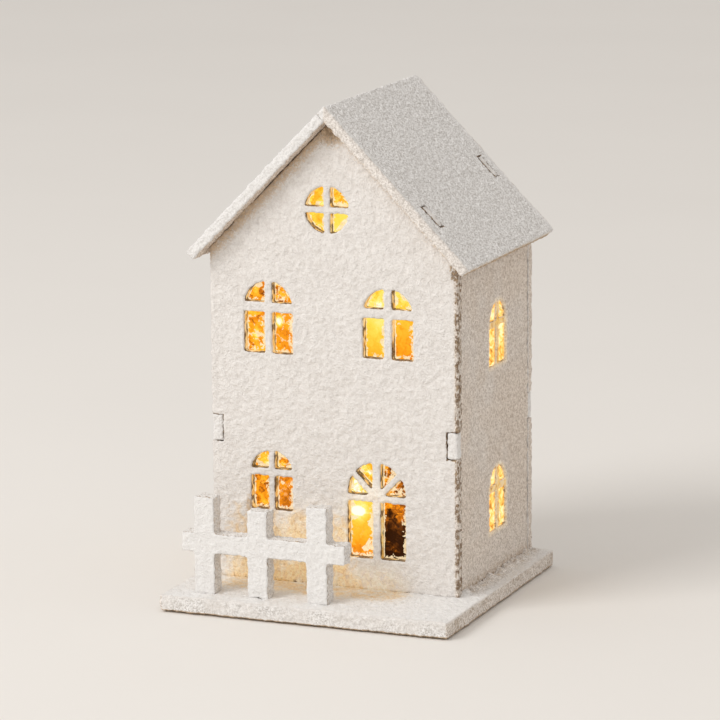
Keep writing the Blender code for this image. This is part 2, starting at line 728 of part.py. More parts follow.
def make_power_parts():
    front_y = BOX_Y - CELL_OFFSET
    rear_y = BOX_Y + CELL_OFFSET
    make_cell("cell_1", front_y, False)
    make_cell("cell_2", rear_y, True)
    left_plate = CELL_BAY_LEFT + SEAT_GAP
    right_plate = CELL_BAY_RIGHT - SEAT_GAP - CONTACT_THICKNESS
    make_contact("bridge_contact", left_plate, (front_y, rear_y))
    make_contact("positive_contact", right_plate, (front_y,))
    make_contact("negative_contact", right_plate, (rear_y,))
    make_spring("spring_1", left_plate + CONTACT_THICKNESS + SEAT_GAP, front_y)
    make_spring("spring_2", right_plate - SEAT_GAP - SPRING_LENGTH, rear_y)


def make_switch():
    """The switch fills its bay, and the slider travels forward along the pocket in its face."""
    left = SWITCH_BAY_LEFT + SEAT_GAP
    right = SWITCH_BAY_RIGHT - SEAT_GAP
    half = SWITCH_BAY_WIDTH / 2 - SEAT_GAP
    shape = box_shape((left, BOX_Y - half, BASE_BOTTOM), (right, BOX_Y + half, SWITCH_BAY_TOP - SEAT_GAP))
    body = add_object("switch_body", shape, WHITE_PLASTIC)
    middle = (left + right) / 2
    pocket_half = SLIDER_WIDTH / 2 + RUNNING_GAP
    run = SLIDER_LENGTH / 2 + SLIDER_TRAVEL / 2 + RUNNING_GAP
    pocket_top = BASE_BOTTOM + SLIDER_POCKET_DEPTH
    pocket = box_shape(
        (middle - pocket_half, BOX_Y - run, BASE_BOTTOM - SLIDER_POCKET_DEPTH),
        (middle + pocket_half, BOX_Y + run, pocket_top),
    )
    apply_boolean(body, cutter("switch_body_pocket", pocket))
    centre = Vector((middle, BOX_Y + SLIDER_TRAVEL / 2, BASE_BOTTOM + SLIDER_RECESS))
    height = SLIDER_POCKET_DEPTH - SLIDER_RECESS - RUNNING_GAP
    knob = Vector((SLIDER_WIDTH / 2, SLIDER_LENGTH / 2, height))
    slider = add_object("switch_slider", box_shape((-knob.x, -knob.y, 0.0), knob), BLACK_PLASTIC, centre)
    groove = Vector((SLIDER_WIDTH, GRIP_WIDTH / 2, GRIP_DEPTH))
    notch = cutter("switch_slider_groove", box_shape(-groove, groove))
    notch.location = centre
    apply_boolean(slider, notch)


LEAD_PLANE = FRONT_FACE + WALL_BOARD + FILM_THICKNESS + 2 * SEAT_GAP + LEAD_RADIUS


def lamp_run():
    """Two points beside each lamp, so that the lead passes it on a short straight piece."""
    places = [Vector((lamp["x"] + HOUSE_SHIFT_X, LEAD_PLANE, WALL_FOOT + lamp["height"])) for lamp in LAMPS]
    foot = Vector((places[0].x, LEAD_PLANE, BASE_TOP))
    last = places[-1] - Vector((0.0, 0.0, LEAD_TAIL))
    around = [foot] + places + [last]
    run = []
    for before, place, after in zip(around, places, around[2:]):
        beside = (after - before).normalized() * LAMP_LENGTH / 2
        run += [place - beside, place + beside]
    return run + [run[-1] - Vector((0.0, 0.0, LEAD_TAIL))]


def lead_route():
    """From between the cells out of the battery box, over the base and up behind the front wall."""
    floor = BASE_TOP + SEAT_GAP + LEAD_RADIUS
    over_box = BOX_TOP + SEAT_GAP + LEAD_RADIUS
    box_front = BOX_Y - BOX_WIDTH / 2
    down_y = box_front - LEAD_BEND
    first = LAMP_1["x"] + HOUSE_SHIFT_X
    run = [
        Vector((LEAD_START_X, BOX_Y, CELL_BAY_TOP - LEAD_IN_BOX)),
        Vector((LEAD_START_X, BOX_Y, BOX_TOP)),
        Vector((LEAD_START_X, BOX_Y, over_box + LEAD_BEND)),
        Vector((LEAD_START_X, BOX_Y - LEAD_STEP_OUT, over_box + LEAD_BEND)),
        Vector((LEAD_START_X, box_front, over_box + LEAD_RADIUS)),
        Vector((LEAD_START_X, down_y, over_box + LEAD_RADIUS)),
        Vector((LEAD_START_X, down_y, floor)),
        Vector((LEAD_START_X, down_y - LEAD_STEP_OUT, floor)),
        Vector((first, LEAD_PLANE + LEAD_RISE_FROM, floor)),
        Vector((first, LEAD_PLANE, floor)),
    ]
    return run + lamp_run()


def smooth_route(points, steps):
    """Points of a curve that rounds the corners of the given run, steps of them at each corner."""
    placed = [points[0]]
    for before, corner, after in zip(points, points[1:], points[2:]):
        enter = (before + corner) / 2
        leave = (corner + after) / 2
        for i in range(steps):
            t = i / steps
            placed.append((1 - t) ** 2 * enter + 2 * t * (1 - t) * corner + t * t * leave)
    placed.append((points[-2] + points[-1]) / 2)
    placed.append(points[-1])
    return placed


def make_lead():
    curve = bpy.data.curves.new("lamp_lead", "CURVE")
    curve.dimensions = "3D"
    curve.bevel_depth = LEAD_RADIUS
    curve.bevel_resolution = 2
    curve.use_fill_caps = True
    route = smooth_route(lead_route(), LEAD_STEPS)
    spline = curve.splines.new("POLY")
    spline.points.add(len(route) - 1)
    for point, place in zip(spline.points, route):
        point.co = (*place, 1.0)
    lead = bpy.data.objects.new("lamp_lead", curve)
    bpy.context.scene.collection.objects.link(lead)
    curve.materials.append(material("lamp_lead", COPPER))


def make_lamps():
    """Small clear drops on the room side of the lead."""
    y = LEAD_PLANE + LEAD_RADIUS + SEAT_GAP + LAMP_RADIUS
    for number, lamp in enumerate(LAMPS, 1):
        shape = bmesh.new()
        bmesh.ops.create_uvsphere(shape, u_segments=ARC_STEPS, v_segments=LAMP_RINGS, radius=LAMP_RADIUS)
        bmesh.ops.scale(shape, vec=(1.0, 1.0, LAMP_LENGTH / (2 * LAMP_RADIUS)), verts=shape.verts)
        place = (lamp["x"] + HOUSE_SHIFT_X, y, WALL_FOOT + lamp["height"])
        shade_round(add_object(f"lamp_{number}", shape, LAMP, place))


clear_scene()
make_base()
make_pads()
make_front_and_rear()
make_side_wall("left_wall", -1)
make_side_wall("right_wall", 1)
make_roof()
make_fence()
make_battery_box()
make_cover()
make_power_parts()
make_switch()
make_lead()
make_lamps()
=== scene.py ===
"""Looks of the lit village house: coated boards, crinkled amber film, lamps and the battery box.

Lengths are in metres unless a name or a comment says mm. Shader coordinates are in mm.
"""

import math

import bmesh
import bpy
import numpy as np
from mathutils import Matrix, Vector
from mathutils.bvhtree import BVHTree


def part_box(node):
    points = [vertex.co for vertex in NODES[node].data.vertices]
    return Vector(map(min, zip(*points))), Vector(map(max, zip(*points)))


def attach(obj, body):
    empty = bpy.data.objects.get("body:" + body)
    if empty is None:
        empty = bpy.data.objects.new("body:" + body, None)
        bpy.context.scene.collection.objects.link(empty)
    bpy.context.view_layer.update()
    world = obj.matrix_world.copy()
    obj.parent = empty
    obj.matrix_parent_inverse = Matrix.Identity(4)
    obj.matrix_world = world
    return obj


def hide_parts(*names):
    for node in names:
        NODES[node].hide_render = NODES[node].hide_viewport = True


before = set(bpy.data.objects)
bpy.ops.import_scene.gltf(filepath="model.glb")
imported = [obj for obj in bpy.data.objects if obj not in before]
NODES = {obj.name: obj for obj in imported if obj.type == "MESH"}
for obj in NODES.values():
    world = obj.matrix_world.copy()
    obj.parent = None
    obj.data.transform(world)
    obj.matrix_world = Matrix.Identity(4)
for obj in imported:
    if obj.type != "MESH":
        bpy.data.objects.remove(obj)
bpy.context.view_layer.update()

# Coat: how finely the boards are divided, how far pebbles stand out, and how far standing boards dip
COAT_VOXEL = 0.0007
COAT_RELIEF = 0.00048
FOOT_DIP = 0.0006

# Film: distance between its cuts, thickness, and how far its crinkles go inwards and outwards
FILM_STEP = 0.0005
FILM_THICKNESS = 0.00015
CRINKLE_IN = -0.0003
CRINKLE_OUT = 0.0011

# Vertices closer than this become one
WELD = 1e-6

# Places taken from the solids, in mm
FRONT_LOW, FRONT_HIGH = (corner * 1000 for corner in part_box("front_wall"))
BASE_LOW, BASE_HIGH = (corner * 1000 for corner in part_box("base_plate"))
HOUSE_X = (FRONT_LOW.x + FRONT_HIGH.x) / 2
SIDE_LOW, SIDE_HIGH = (corner * 1000 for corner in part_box("right_wall"))
FOOT = FRONT_LOW.z
FRONT_Y = FRONT_LOW.y
SHOULDER = SIDE_HIGH.z
HALF_WALL = SIDE_HIGH.x - HOUSE_X
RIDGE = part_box("roof_right")[1].z * 1000

# Sizes of the boards and their joints, in mm; tabs are given by height above the walls' foot
PITCH = math.radians(45.5)
BOARD = 5.0
GAP = 0.3
TAB_LOW = 66.0
TAB_HIGH = 79.0
FILM_LAP = 3.5

# Roof slots: distance down the roof, front and rear end, and how dark their front side is, low and high,
# where the dark is charred edge and painted shade of the gap
SLOT_HALF = 6.9
SLOTS = (
    (70.8, FRONT_Y - GAP, FRONT_Y + BOARD + GAP, 0.46, 0.0),
    (58.8, BASE_HIGH.y - BOARD - GAP, BASE_HIGH.y + GAP, 0.72, 0.7),
)


def smooth_step(low, high, value):
    share = np.clip((value - low) / (high - low), 0.0, 1.0)
    return share * share * (3.0 - 2.0 * share)


def hump(value, rise_low, rise_high, fall_low, fall_high):
    """1 between the rise and the fall, and 0 outside them, with smooth sides."""
    return smooth_step(rise_low, rise_high, value) * (1 - smooth_step(fall_low, fall_high, value))


def corner_values(cell, seed):
    """A repeatable number from 0 to 1 for each whole-number cell corner."""
    mask = np.int64(0xFFFFFFFF)
    factor_x, factor_y, factor_z, mixer = 374761393, 668265263, 971354687, 1274126177
    mixed = cell[:, 0] * factor_x + cell[:, 1] * factor_y + cell[:, 2] * factor_z
    mixed = (mixed + seed * mixer) & mask
    mixed = ((mixed ^ (mixed >> 13)) * mixer) & mask
    return ((mixed ^ (mixed >> 16)) & 0xFFFF) / 65535.0


def value_noise(points, size, seed):
    """Smooth noise from 0 to 1 with features of about the given size."""
    scaled = points / size
    cell = np.floor(scaled).astype(np.int64)
    share = scaled - cell
    share = share * share * (3.0 - 2.0 * share)
    total = np.zeros(len(points))
    for dx in (0, 1):
        for dy in (0, 1):
            for dz in (0, 1):
                weight = (
                    (share[:, 0] if dx else 1 - share[:, 0])
                    * (share[:, 1] if dy else 1 - share[:, 1])
                    * (share[:, 2] if dz else 1 - share[:, 2])
                )
                total += weight * corner_values(cell + (dx, dy, dz), seed)
    return total


def ridged(points, size, seed):
    return 1.0 - np.abs(2.0 * value_noise(points, size, seed) - 1.0)


def vertex_rows(mesh, key):
    """The positions ("co") or normals ("normal") of a mesh's vertices, one row each."""
    flat = np.empty(len(mesh.vertices) * 3)
    mesh.vertices.foreach_get(key, flat)
    return flat.reshape(-1, 3)


def write_attribute(mesh, name, values):
    layer = mesh.attributes.new(name, "FLOAT", "POINT")
    layer.data.foreach_set("value", np.asarray(values, dtype=np.float32))


def evaluated(thing):
    """The mesh of an object with its modifiers applied."""
    bpy.context.view_layer.update()
    graph = bpy.context.evaluated_depsgraph_get()
    return bpy.data.meshes.new_from_object(thing.evaluated_get(graph))


def new_object(name, data):
    made = bpy.data.objects.new(name, data)
    bpy.context.scene.collection.objects.link(made)
    return made


class Look:
    """A node material. Each method adds a node and returns its output."""

    def __init__(self, name):
        self.material = bpy.data.materials.new(name)
        self.material.use_nodes = True
        self.tree = self.material.node_tree
        self.tree.nodes.clear()
        self.shader = self.node("ShaderNodeBsdfPrincipled")
        self.output = self.node("ShaderNodeOutputMaterial")
        self.tree.links.new(self.shader.outputs[0], self.output.inputs["Surface"])
        coordinate = self.node("ShaderNodeTexCoord")
        scale = self.node("ShaderNodeVectorMath", operation="SCALE")
        self.put(scale.inputs[0], coordinate.outputs["Object"])
        scale.inputs["Scale"].default_value = 1000.0
        self.place = scale.outputs[0]

    def node(self, kind, **settings):
        made = self.tree.nodes.new(kind)
        for key, value in settings.items():
            setattr(made, key, value)
        return made

    def put(self, socket, value):
        if isinstance(value, bpy.types.NodeSocket):
            self.tree.links.new(value, socket)
        elif isinstance(value, tuple) and len(value) == 3 and socket.type == "RGBA":
            socket.default_value = (*value, 1.0)
        else:
            socket.default_value = value

    def set(self, **values):
        for key, value in values.items():
            self.put(self.shader.inputs[key.replace("_", " ").title().replace("Ior", "IOR")], value)

    def math(self, operation, a, b=0.0, clamp=False):
        made = self.node("ShaderNodeMath", operation=operation, use_clamp=clamp)
        self.put(made.inputs[0], a)
        self.put(made.inputs[1], b)
        return made.outputs[0]

    def weighted(self, *terms):
        """The sum of values times their weights."""
        total = None
        for value, weight in terms:
            part = self.math("MULTIPLY", value, weight)
            total = part if total is None else self.math("ADD", total, part)
        return total

    def centred(self, value, weight):
        """How far a value lies from one half, times a weight."""
        return self.math("MULTIPLY", self.math("SUBTRACT", value, 0.5), weight)

    def inverse(self, value):
        return self.math("SUBTRACT", 1.0, value)

    def mix(self, factor, a, b):
        made = self.node("ShaderNodeMix", data_type="RGBA")
        self.put(made.inputs["Factor"], factor)
        self.put(made.inputs[6], a)
        self.put(made.inputs[7], b)
        return made.outputs[2]

    def noise(self, scale, detail=2.0, roughness=0.5, distortion=0.0, place=None):
        made = self.node("ShaderNodeTexNoise")
        self.put(made.inputs["Vector"], place or self.place)
        made.inputs["Scale"].default_value = scale
        made.inputs["Detail"].default_value = detail
        made.inputs["Roughness"].default_value = roughness
        made.inputs["Distortion"].default_value = distortion
        return made.outputs["Fac"]

    def stretched(self, x, y, z):
        made = self.node("ShaderNodeVectorMath", operation="MULTIPLY")
        self.put(made.inputs[0], self.place)
        made.inputs[1].default_value = (x, y, z)
        return made.outputs[0]

    def cells(self, scale, feature="F1", place=None):
        made = self.node("ShaderNodeTexVoronoi", feature=feature)
        self.put(made.inputs["Vector"], place or self.place)
        made.inputs["Scale"].default_value = scale
        return made.outputs["Distance"]

    def axes(self):
        made = self.node("ShaderNodeSeparateXYZ")
        self.put(made.inputs[0], self.place)
        return made.outputs[0], made.outputs[1], made.outputs[2]

    def between(self, value, low, high, to_low=0.0, to_high=1.0):
        made = self.node("ShaderNodeMapRange", interpolation_type="SMOOTHSTEP", clamp=True)
        self.put(made.inputs["Value"], value)
        for key, number in (("From Min", low), ("From Max", high), ("To Min", to_low), ("To Max", to_high)):
            self.put(made.inputs[key], number)
        return made.outputs["Result"]

    def ramp(self, value, stops):
        made = self.node("ShaderNodeValToRGB")
        elements = made.color_ramp.elements
        while len(elements) < len(stops):
            elements.new(1.0)
        for element, (position, colour) in zip(elements, stops):
            element.position = position
            element.color = (*colour, 1.0)
        self.put(made.inputs["Fac"], value)
        return made.outputs["Color"]

    def attribute(self, name):
        return self.node("ShaderNodeAttribute", attribute_name=name).outputs["Fac"]

    def bump(self, height, distance, strength=1.0):
        made = self.node("ShaderNodeBump")
        self.put(made.inputs["Height"], height)
        made.inputs["Distance"].default_value = distance
        made.inputs["Strength"].default_value = strength
        self.put(self.shader.inputs["Normal"], made.outputs["Normal"])


def flock_ground(look, middle, grain, granular):
    """The flock's own colour: white and warm by place, rough grey or woven taupe where the attributes say."""
    grey = look.attribute("grey")
    patch = look.noise(0.10, 3.0, 0.6)
    tone = look.weighted((grain, 0.34), (middle, 0.36), (patch, 0.18), (look.attribute("relief"), 0.12))
    spread = look.between(tone, 0.34, 0.66)
    warm_coat = look.mix(spread, (0.75, 0.712, 0.676), (0.88, 0.85, 0.82))
    cool_coat = look.mix(spread, (0.825, 0.808, 0.79), (0.895, 0.882, 0.866))
    coat = look.mix(look.attribute("white"), warm_coat, cool_coat)
    rough = look.mix(look.between(granular, 0.425, 0.56), (0.53, 0.505, 0.475), (0.99, 0.98, 0.97))
    coat = look.mix(grey, coat, rough)
    streak = look.noise(0.75, 4.0, 0.7, 0.6, look.stretched(1.0, 1.0, 0.75))
    woven = look.weighted((granular, 0.62), (streak, 0.38))
    taupe = look.mix(look.between(woven, 0.43, 0.57), (0.54, 0.445, 0.36), (0.92, 0.82, 0.725))
    coat = look.mix(look.attribute("warm"), coat, taupe)
    speck = look.between(look.noise(1.9, 1.0, 0.5), 0.69, 0.74)
    speck = look.math("MULTIPLY", speck, look.between(look.noise(0.3, 2.0), 0.42, 0.62))
    speck = look.math("MULTIPLY", speck, look.math("ADD", look.math("MULTIPLY", grey, 0.5), 0.34))
    return look.mix(speck, coat, (0.24, 0.18, 0.13))


def flock_marks_and_painted_light(look, coat, granular, glow):
    """The coat with tan marks, partly painted shade under the roof, a gold tint of grit and painted warm
    window light, and the tint of lit places laid over it.
    """
    brush = look.noise(0.7, 4.0, 0.7, 0.8)
    tan_colour = look.ramp(brush, (
        (0.25, (0.22, 0.14, 0.08)), (0.50, (0.56, 0.41, 0.27)), (0.72, (0.80, 0.66, 0.50))
    ))
    shown = look.math("ADD", look.attribute("tan"), look.math("SUBTRACT", brush, 0.5))
    coat = look.mix(look.between(shown, 0.30, 0.70), coat, tan_colour)
    # Gold tint: painted warm light from the windows, and gold grit beside the walls on the base
    gold_grit_and_window_light = look.attribute("gold_grit_and_window_light")
    gold_patches = look.noise(0.17, 3.0, 0.6, 1.0)
    gold_colour = look.ramp(granular, ((0.34, (0.66, 0.43, 0.21)), (0.62, (0.96, 0.74, 0.45))))
    patchy = look.math("ADD", gold_grit_and_window_light, look.centred(gold_patches, 1.7))
    patchy = look.math("MULTIPLY", look.between(patchy, 0.15, 0.95), look.between(gold_grit_and_window_light, 0.0, 0.35))
    coat = look.mix(look.math("MULTIPLY", patchy, 0.84), coat, gold_colour)
    return look.mix(look.between(glow, 0.15, 0.55), coat, (0.50, 0.27, 0.08))


def coat_look():
    """White pebbly flock over brown board, which shows through where the attributes say; the same dark browns
    also paint shade where they say.
    """
    look = Look("flocked_board")
    glow = look.attribute("glow")
    middle = look.noise(0.85, 2.0, 0.6, 0.1)
    grain = look.noise(1.1, 2.0, 0.6)
    fine = look.noise(2.1, 1.0, 0.5)
    granular = look.weighted((fine, 0.35), (grain, 0.65))
    coat = flock_marks_and_painted_light(look, flock_ground(look, middle, grain, granular), granular, glow)
    char = look.noise(0.85, 4.0, 0.7, 0.5, look.stretched(1.0, 1.0, 0.5))
    char_and_shade_colour = look.ramp(char, (
        (0.34, (0.030, 0.016, 0.009)), (0.50, (0.15, 0.088, 0.045)), (0.64, (0.50, 0.38, 0.26))
    ))
    # Dark brown where the board is bare and charred, and also where shade is painted under the roof, in slot
    # gaps and at the foot
    bare_and_shade_level = look.math("ADD", look.attribute("char_and_shade"), look.centred(char, 1.5))
    bare = look.between(bare_and_shade_level, 0.40, 0.62)
    coat = look.mix(bare, coat, char_and_shade_colour)
    flicker = look.noise(0.42, 3.0, 0.6, 1.0, look.stretched(1.0, 1.0, 0.55))
    glow_colour = look.ramp(flicker, (
        (0.32, (0.20, 0.08, 0.01)), (0.40, (0.78, 0.42, 0.07)),
        (0.50, (1.0, 0.72, 0.24)), (0.62, (1.0, 0.90, 0.56)),
    ))
    glow_left = look.math("MULTIPLY", glow, look.inverse(look.math("MULTIPLY", bare, 0.85)))
    look.put(look.shader.inputs["Emission Color"], look.mix(glow_left, (0.0, 0.0, 0.0), glow_colour))
    look.set(base_color=coat, roughness=0.92, specular_ior_level=0.25, emission_strength=1.0)
    look.bump(look.weighted((middle, 0.48), (grain, 0.38), (fine, 0.14)), 0.0013, 1.0)
    return look.material


def jamb_marks(point, depth, edge, normal, inside, glow, seed):
    """Bare board that lines an opening: charred at its outer edge and on the sills, lit amber further in."""
    blots = value_noise(point, 2.4, seed)
    outer = 1 - smooth_step(0.9, 1.9, depth)
    inner = smooth_step(3.4, 4.6, depth)
    sill = 0.34 * smooth_step(0.5, 0.9, normal[:, 2])
    char_and_shade = edge * inside * (0.24 + 0.42 * outer + 0.36 * inner + sill + 1.5 * (blots - 0.45))
    lit = glow * edge * inside * smooth_step(0.7, 1.8, depth)
    return char_and_shade, lit


def gable_marks(point, depth, edge, normal, shade):
    """Attributes of a gable wall, and places in mm about the wall's middle and foot."""
    x = point[:, 0] - HOUSE_X
    z = point[:, 2] - FOOT
    eaves = SHOULDER - FOOT
    side_gap = HALF_WALL - np.abs(x)
    slope = (eaves - z) * math.cos(PITCH) + side_gap * math.sin(PITCH)
    inside = (side_gap > 6.5) & (slope > 6.5)
    jamb, lit = jamb_marks(point, depth, edge, normal, inside, 0.56, 71)
    low_part = z < eaves + 1.0
    turned = (1 - smooth_step(0.9, 1.9, side_gap)) * (x > 0)
    flaky = 0.66 + 0.34 * smooth_step(0.36, 0.60, value_noise(point, 1.4, 74))
    strip = np.maximum(edge, turned) * (side_gap < 2.2) * low_part * (depth < 4.9) * flaky
    notch = (z > TAB_LOW - GAP) & (z < TAB_HIGH + GAP)
    joint = edge * (side_gap >= 1.5) * (side_gap < 7.0) * (z > TAB_LOW - 6.0) * (z < TAB_HIGH + 6.0)
    beyond = np.maximum(np.abs(z - (TAB_LOW + TAB_HIGH) / 2) - (TAB_HIGH - TAB_LOW) / 2, side_gap - BOARD)
    dashes = 0.25 + 0.75 * value_noise(point, 1.8, 73)
    joint = np.maximum(joint, dashes * (1 - smooth_step(0.5, 1.1, beyond)) * (beyond > 0) * (depth < 0.8))
    tab_side = np.maximum(edge * (slope > -4.4), 1.0 * (slope > -5.0)) * (slope < -0.6)
    tab_end = (slope <= -4.7) * np.maximum(1 - smooth_step(0.2, 0.8, depth), smooth_step(4.3, 4.8, depth))
    # Painted shade: the wall is darkened and tinted tan just under the roof slopes, most at the apex
    shadow = 0.34 * (1 - smooth_step(0.5, 8.0, slope)) * (slope > -0.5)
    peak = eaves + HALF_WALL * math.tan(PITCH)
    apex = (1 - smooth_step(5.0, 22.0, np.hypot(x, peak - z))) * (slope > -0.5)
    shadow = np.maximum(shadow, 0.50 * apex)
    char_and_shade = np.maximum.reduce([jamb, shade * strip * ~notch, joint, tab_side, tab_end, shadow])
    tan = (0.64 - 0.58 * smooth_step(0.0, 11.0, slope)) * (slope < 13.0) * (slope > -0.5)
    tan = np.maximum(np.where(x > 0, tan * 0.72, tan), 0.72 * apex)
    tan = np.maximum(tan, 0.58 * strip * shade)
    calm = 1.0 - 0.45 * edge * inside
    warm = 0.9 * strip * shade / 0.6
    return x, z, dict(char_and_shade=char_and_shade, tan=tan, glow=lit, grey=0.7 * strip, warm=warm, calm=calm)


def front_marks(point, depth, edge, normal):
    """Painted warm window light, tan patches, dark marks and lit places of the front, with x and z in mm from
    its middle and foot.
    """
    x, z, marks = gable_marks(point, depth, edge, normal, 0.60)
    # Painted warm window light: behind the fence and along the foot the coat is tinted gold and glows
    behind_fence = hump(x, -64, -50, 2, 20) * (1 - smooth_step(22, 46, z))
    middle = hump(x, -36, -24, 4, 16)
    marks["char_and_shade"] = np.maximum(marks["char_and_shade"], 0.34 * behind_fence * (1 - smooth_step(1.0, 3.5, z)))
    near_door = 1 - smooth_step(4.0, 17.0, np.hypot(x - 17.0, z - 43.0))
    foot = (1 - smooth_step(3, 17, z)) * hump(x, -64, -50, 24, 44)
    left_part = hump(x, -62, -56, -34, -26)
    marks["gold_grit_and_window_light"] = np.maximum(behind_fence * (0.46 + 0.30 * middle + 0.24 * left_part), 0.30 * foot)
    beside_door = hump(x, 6, 10, 10, 14) * hump(z, 8, 20, 46, 54)
    between_posts = hump(x, -50, -44, -38, -32) * (1 - smooth_step(36, 48, z))
    tan_patches = np.maximum(0.46 * beside_door, 0.62 * between_posts) * (depth < 0.8)
    marks["tan"] = np.maximum(marks["tan"], tan_patches)
    marks["glow"] = marks["glow"] + 0.17 * np.maximum(behind_fence * middle, foot) * (depth < 0.8)
    corner = smooth_step(52, 61, x) * smooth_step(140, 158, z) * (depth < 1.0)
    marks["tan"] = np.maximum(marks["tan"], 0.42 * corner)
    crumbs = smooth_step(57.5, 60.5, x) * smooth_step(146, 154, z) * (depth < 1.0)
    marks["char_and_shade"] = np.maximum(marks["char_and_shade"], 0.58 * crumbs)
    marks["glow"] = marks["glow"] + 0.16 * near_door * (depth < 0.8)
    return marks


def rear_marks(point, depth, edge, normal):
    """The rear is a gable with grey patches and taupe ends."""
    marks = gable_marks(point, depth, edge, normal, 0.22)[2]
    marks["grey"] = np.maximum(marks["grey"], 0.10 + 0.24 * value_noise(point, 22.0, 78))
    marks["warm"] = 0.8 * (np.abs(point[:, 0] - HOUSE_X) > HALF_WALL - 0.9) * edge
    return marks


def window_halo(y, z):
    """How near a point of a side wall's face is to the bars and rims of its windows, from 0 to 1."""
    halo = np.zeros(len(y))
    for rise in ("upper", "lower"):
        low, high = (corner * 1000 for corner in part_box(f"film_right_{rise}"))
        half = (high.y - low.y) / 2 - FILM_LAP
        spring = high.z - FILM_LAP - half
        sideways = np.abs(y - (low.y + high.y) / 2)
        below = np.maximum(sideways - half, low.z + FILM_LAP - z)
        out = np.where(z > spring, np.hypot(sideways, z - spring) - half, below)
        halo = np.maximum(halo, 1 - 0.62 * smooth_step(-1.0, 0.3, out) - 0.38 * smooth_step(0.3, 2.6, out))
    return halo


def side_marks(point, depth, edge, normal):
    """Taupe side walls that are cooler in patches, lit round their windows and darker at the foot, with
    painted shade under the eaves and more taupe and grey on the shaded right wall.
    """
    z = point[:, 2]
    y = point[:, 1]
    inside = (y > SIDE_LOW.y + 8) & (y < SIDE_HIGH.y - 8) & (z > SIDE_LOW.z + 8) & (z < SIDE_HIGH.z - 8)
    ends = (y < SIDE_LOW.y + 0.9) | (y > SIDE_HIGH.y - 0.9)
    jamb, lit = jamb_marks(point, depth, edge, normal, inside, 1.0, 72)
    tab_reach = BOARD + GAP
    near_end = np.minimum(y - SIDE_LOW.y - tab_reach, SIDE_HIGH.y - tab_reach - y)
    tab = near_end < -0.2
    seam = (1 - smooth_step(0.2, 1.2, near_end)) * ~tab
    char_and_shade = np.maximum.reduce([jamb * 0.45, 0.75 * edge * ~inside * ~ends, 0.40 * seam * (y < 0)])
    seen = np.where(point[:, 0] > HOUSE_X, 0.85, 0.4)
    lit = lit + seen * (0.34 + 0.34 * value_noise(point, 4.0, 75)) * window_halo(y, z) * (1 - edge)
    cool = smooth_step(0.38, 0.78, 0.6 * value_noise(point, 26.0, 76) + 0.4 * value_noise(point, 11.0, 77))
    cool = np.maximum(cool, 0.7 * (1 - smooth_step(4.0, 30.0, z - FOOT)))
    foot = 1 - smooth_step(1.0, 14.0, z - FOOT)
    char_and_shade = np.maximum(char_and_shade, 0.40 * foot)
    # Painted shade: tan just under the eaves
    tan_top = 0.52 * (1 - smooth_step(0.0, 5.0, SIDE_HIGH.z - z))
    tan = np.maximum(tan_top, 0.44 * (1 - smooth_step(0.0, 12.0, z - FOOT)))
    # Painted shade: the right wall, away from the key light, gets more taupe and grey than the left
    shady = np.where(point[:, 0] > HOUSE_X, 1.0, 0.6)
    warm = np.where(tab, 0.0, shady * (0.86 - 0.30 * cool))
    grey = shady * (0.12 + 0.34 * cool)
    return dict(char_and_shade=char_and_shade, tan=tan, grey=grey, warm=warm, white=0.6 * tab, glow=lit)


def roof_marks(point, depth, edge, normal):
    """Roof boards with pale front and rear edges, a dark eave line, slots darkened by char and painted shade,
    and painted shade that greys the right board.
    """
    y = point[:, 1]
    z = point[:, 2]
    low, high = y.min(), y.max()
    along = np.abs(point[:, 0] - HOUSE_X) * math.cos(PITCH) + (RIDGE - z) * math.sin(PITCH)
    char_and_shade = np.zeros(len(point))
    # Slot rims: charred edge and painted shade of the gap, darker at the low end and the front side
    for down, near, far, side_share, end_share in SLOTS:
        middle = (near + far) / 2
        out_along = np.abs(along - down) - SLOT_HALF
        out_across = np.abs(y - middle) - (far - near) / 2
        rim = 1 - smooth_step(0.05, 0.5, np.maximum(out_along, out_across))
        lower = along > down + SLOT_HALF - 0.6
        upper = along < down - SLOT_HALF + 0.6
        upward = np.clip((down + SLOT_HALF - along) / (2 * SLOT_HALF), 0, 1)
        facing = np.where(y < middle, side_share - (side_share - end_share) * upward, 0.10)
        facing = np.where(lower, 0.75, np.where(upper, end_share, facing))
        char_and_shade = np.maximum(char_and_shade, facing * np.maximum(rim, edge * (rim > 0)))
    under = depth > 4.55
    eave = edge * (z < z.min() + 5.0) * (y > low + 2) * (y < high - 2)
    tan = np.maximum(0.26 * under, 0.40 * eave + 0.4 * eave * smooth_step(1.5, 4.0, depth))
    rake = (y < low + 0.8) | (y > high - 0.8)
    reach = 1.2 + 4.6 * value_noise(point, 3.0, 61)
    band = 1 - smooth_step(0.6 * reach, reach, np.minimum(y - low, high - y))
    right = point[:, 0] > HOUSE_X
    white = np.maximum(np.maximum(rake * 1.0, band * 0.9), 0.5)
    tan = np.where(rake, 0.08 + 0.12 * right + 0.20 * smooth_step(2.8, 4.6, depth), tan)
    eave_line = under * edge * (z < z.min() + 6.0)
    char_and_shade = np.maximum(char_and_shade, np.maximum(0.86 * eave_line, 0.46 * eave * smooth_step(1.6, 4.2, depth)))
    # Painted shade: the right board, turned from the key light, is greyer and its rake more tan and taupe
    # than the left
    face_grey = (np.where(right, 0.78, 0.50) * (1 - band) + 0.08 * band) * ~under
    grey = np.where(rake, 0.20 + 0.22 * right, face_grey)
    warm = np.where(rake, 0.42 * right, 1.0 * under)
    return dict(char_and_shade=char_and_shade, tan=tan, white=white, grey=grey, warm=warm)


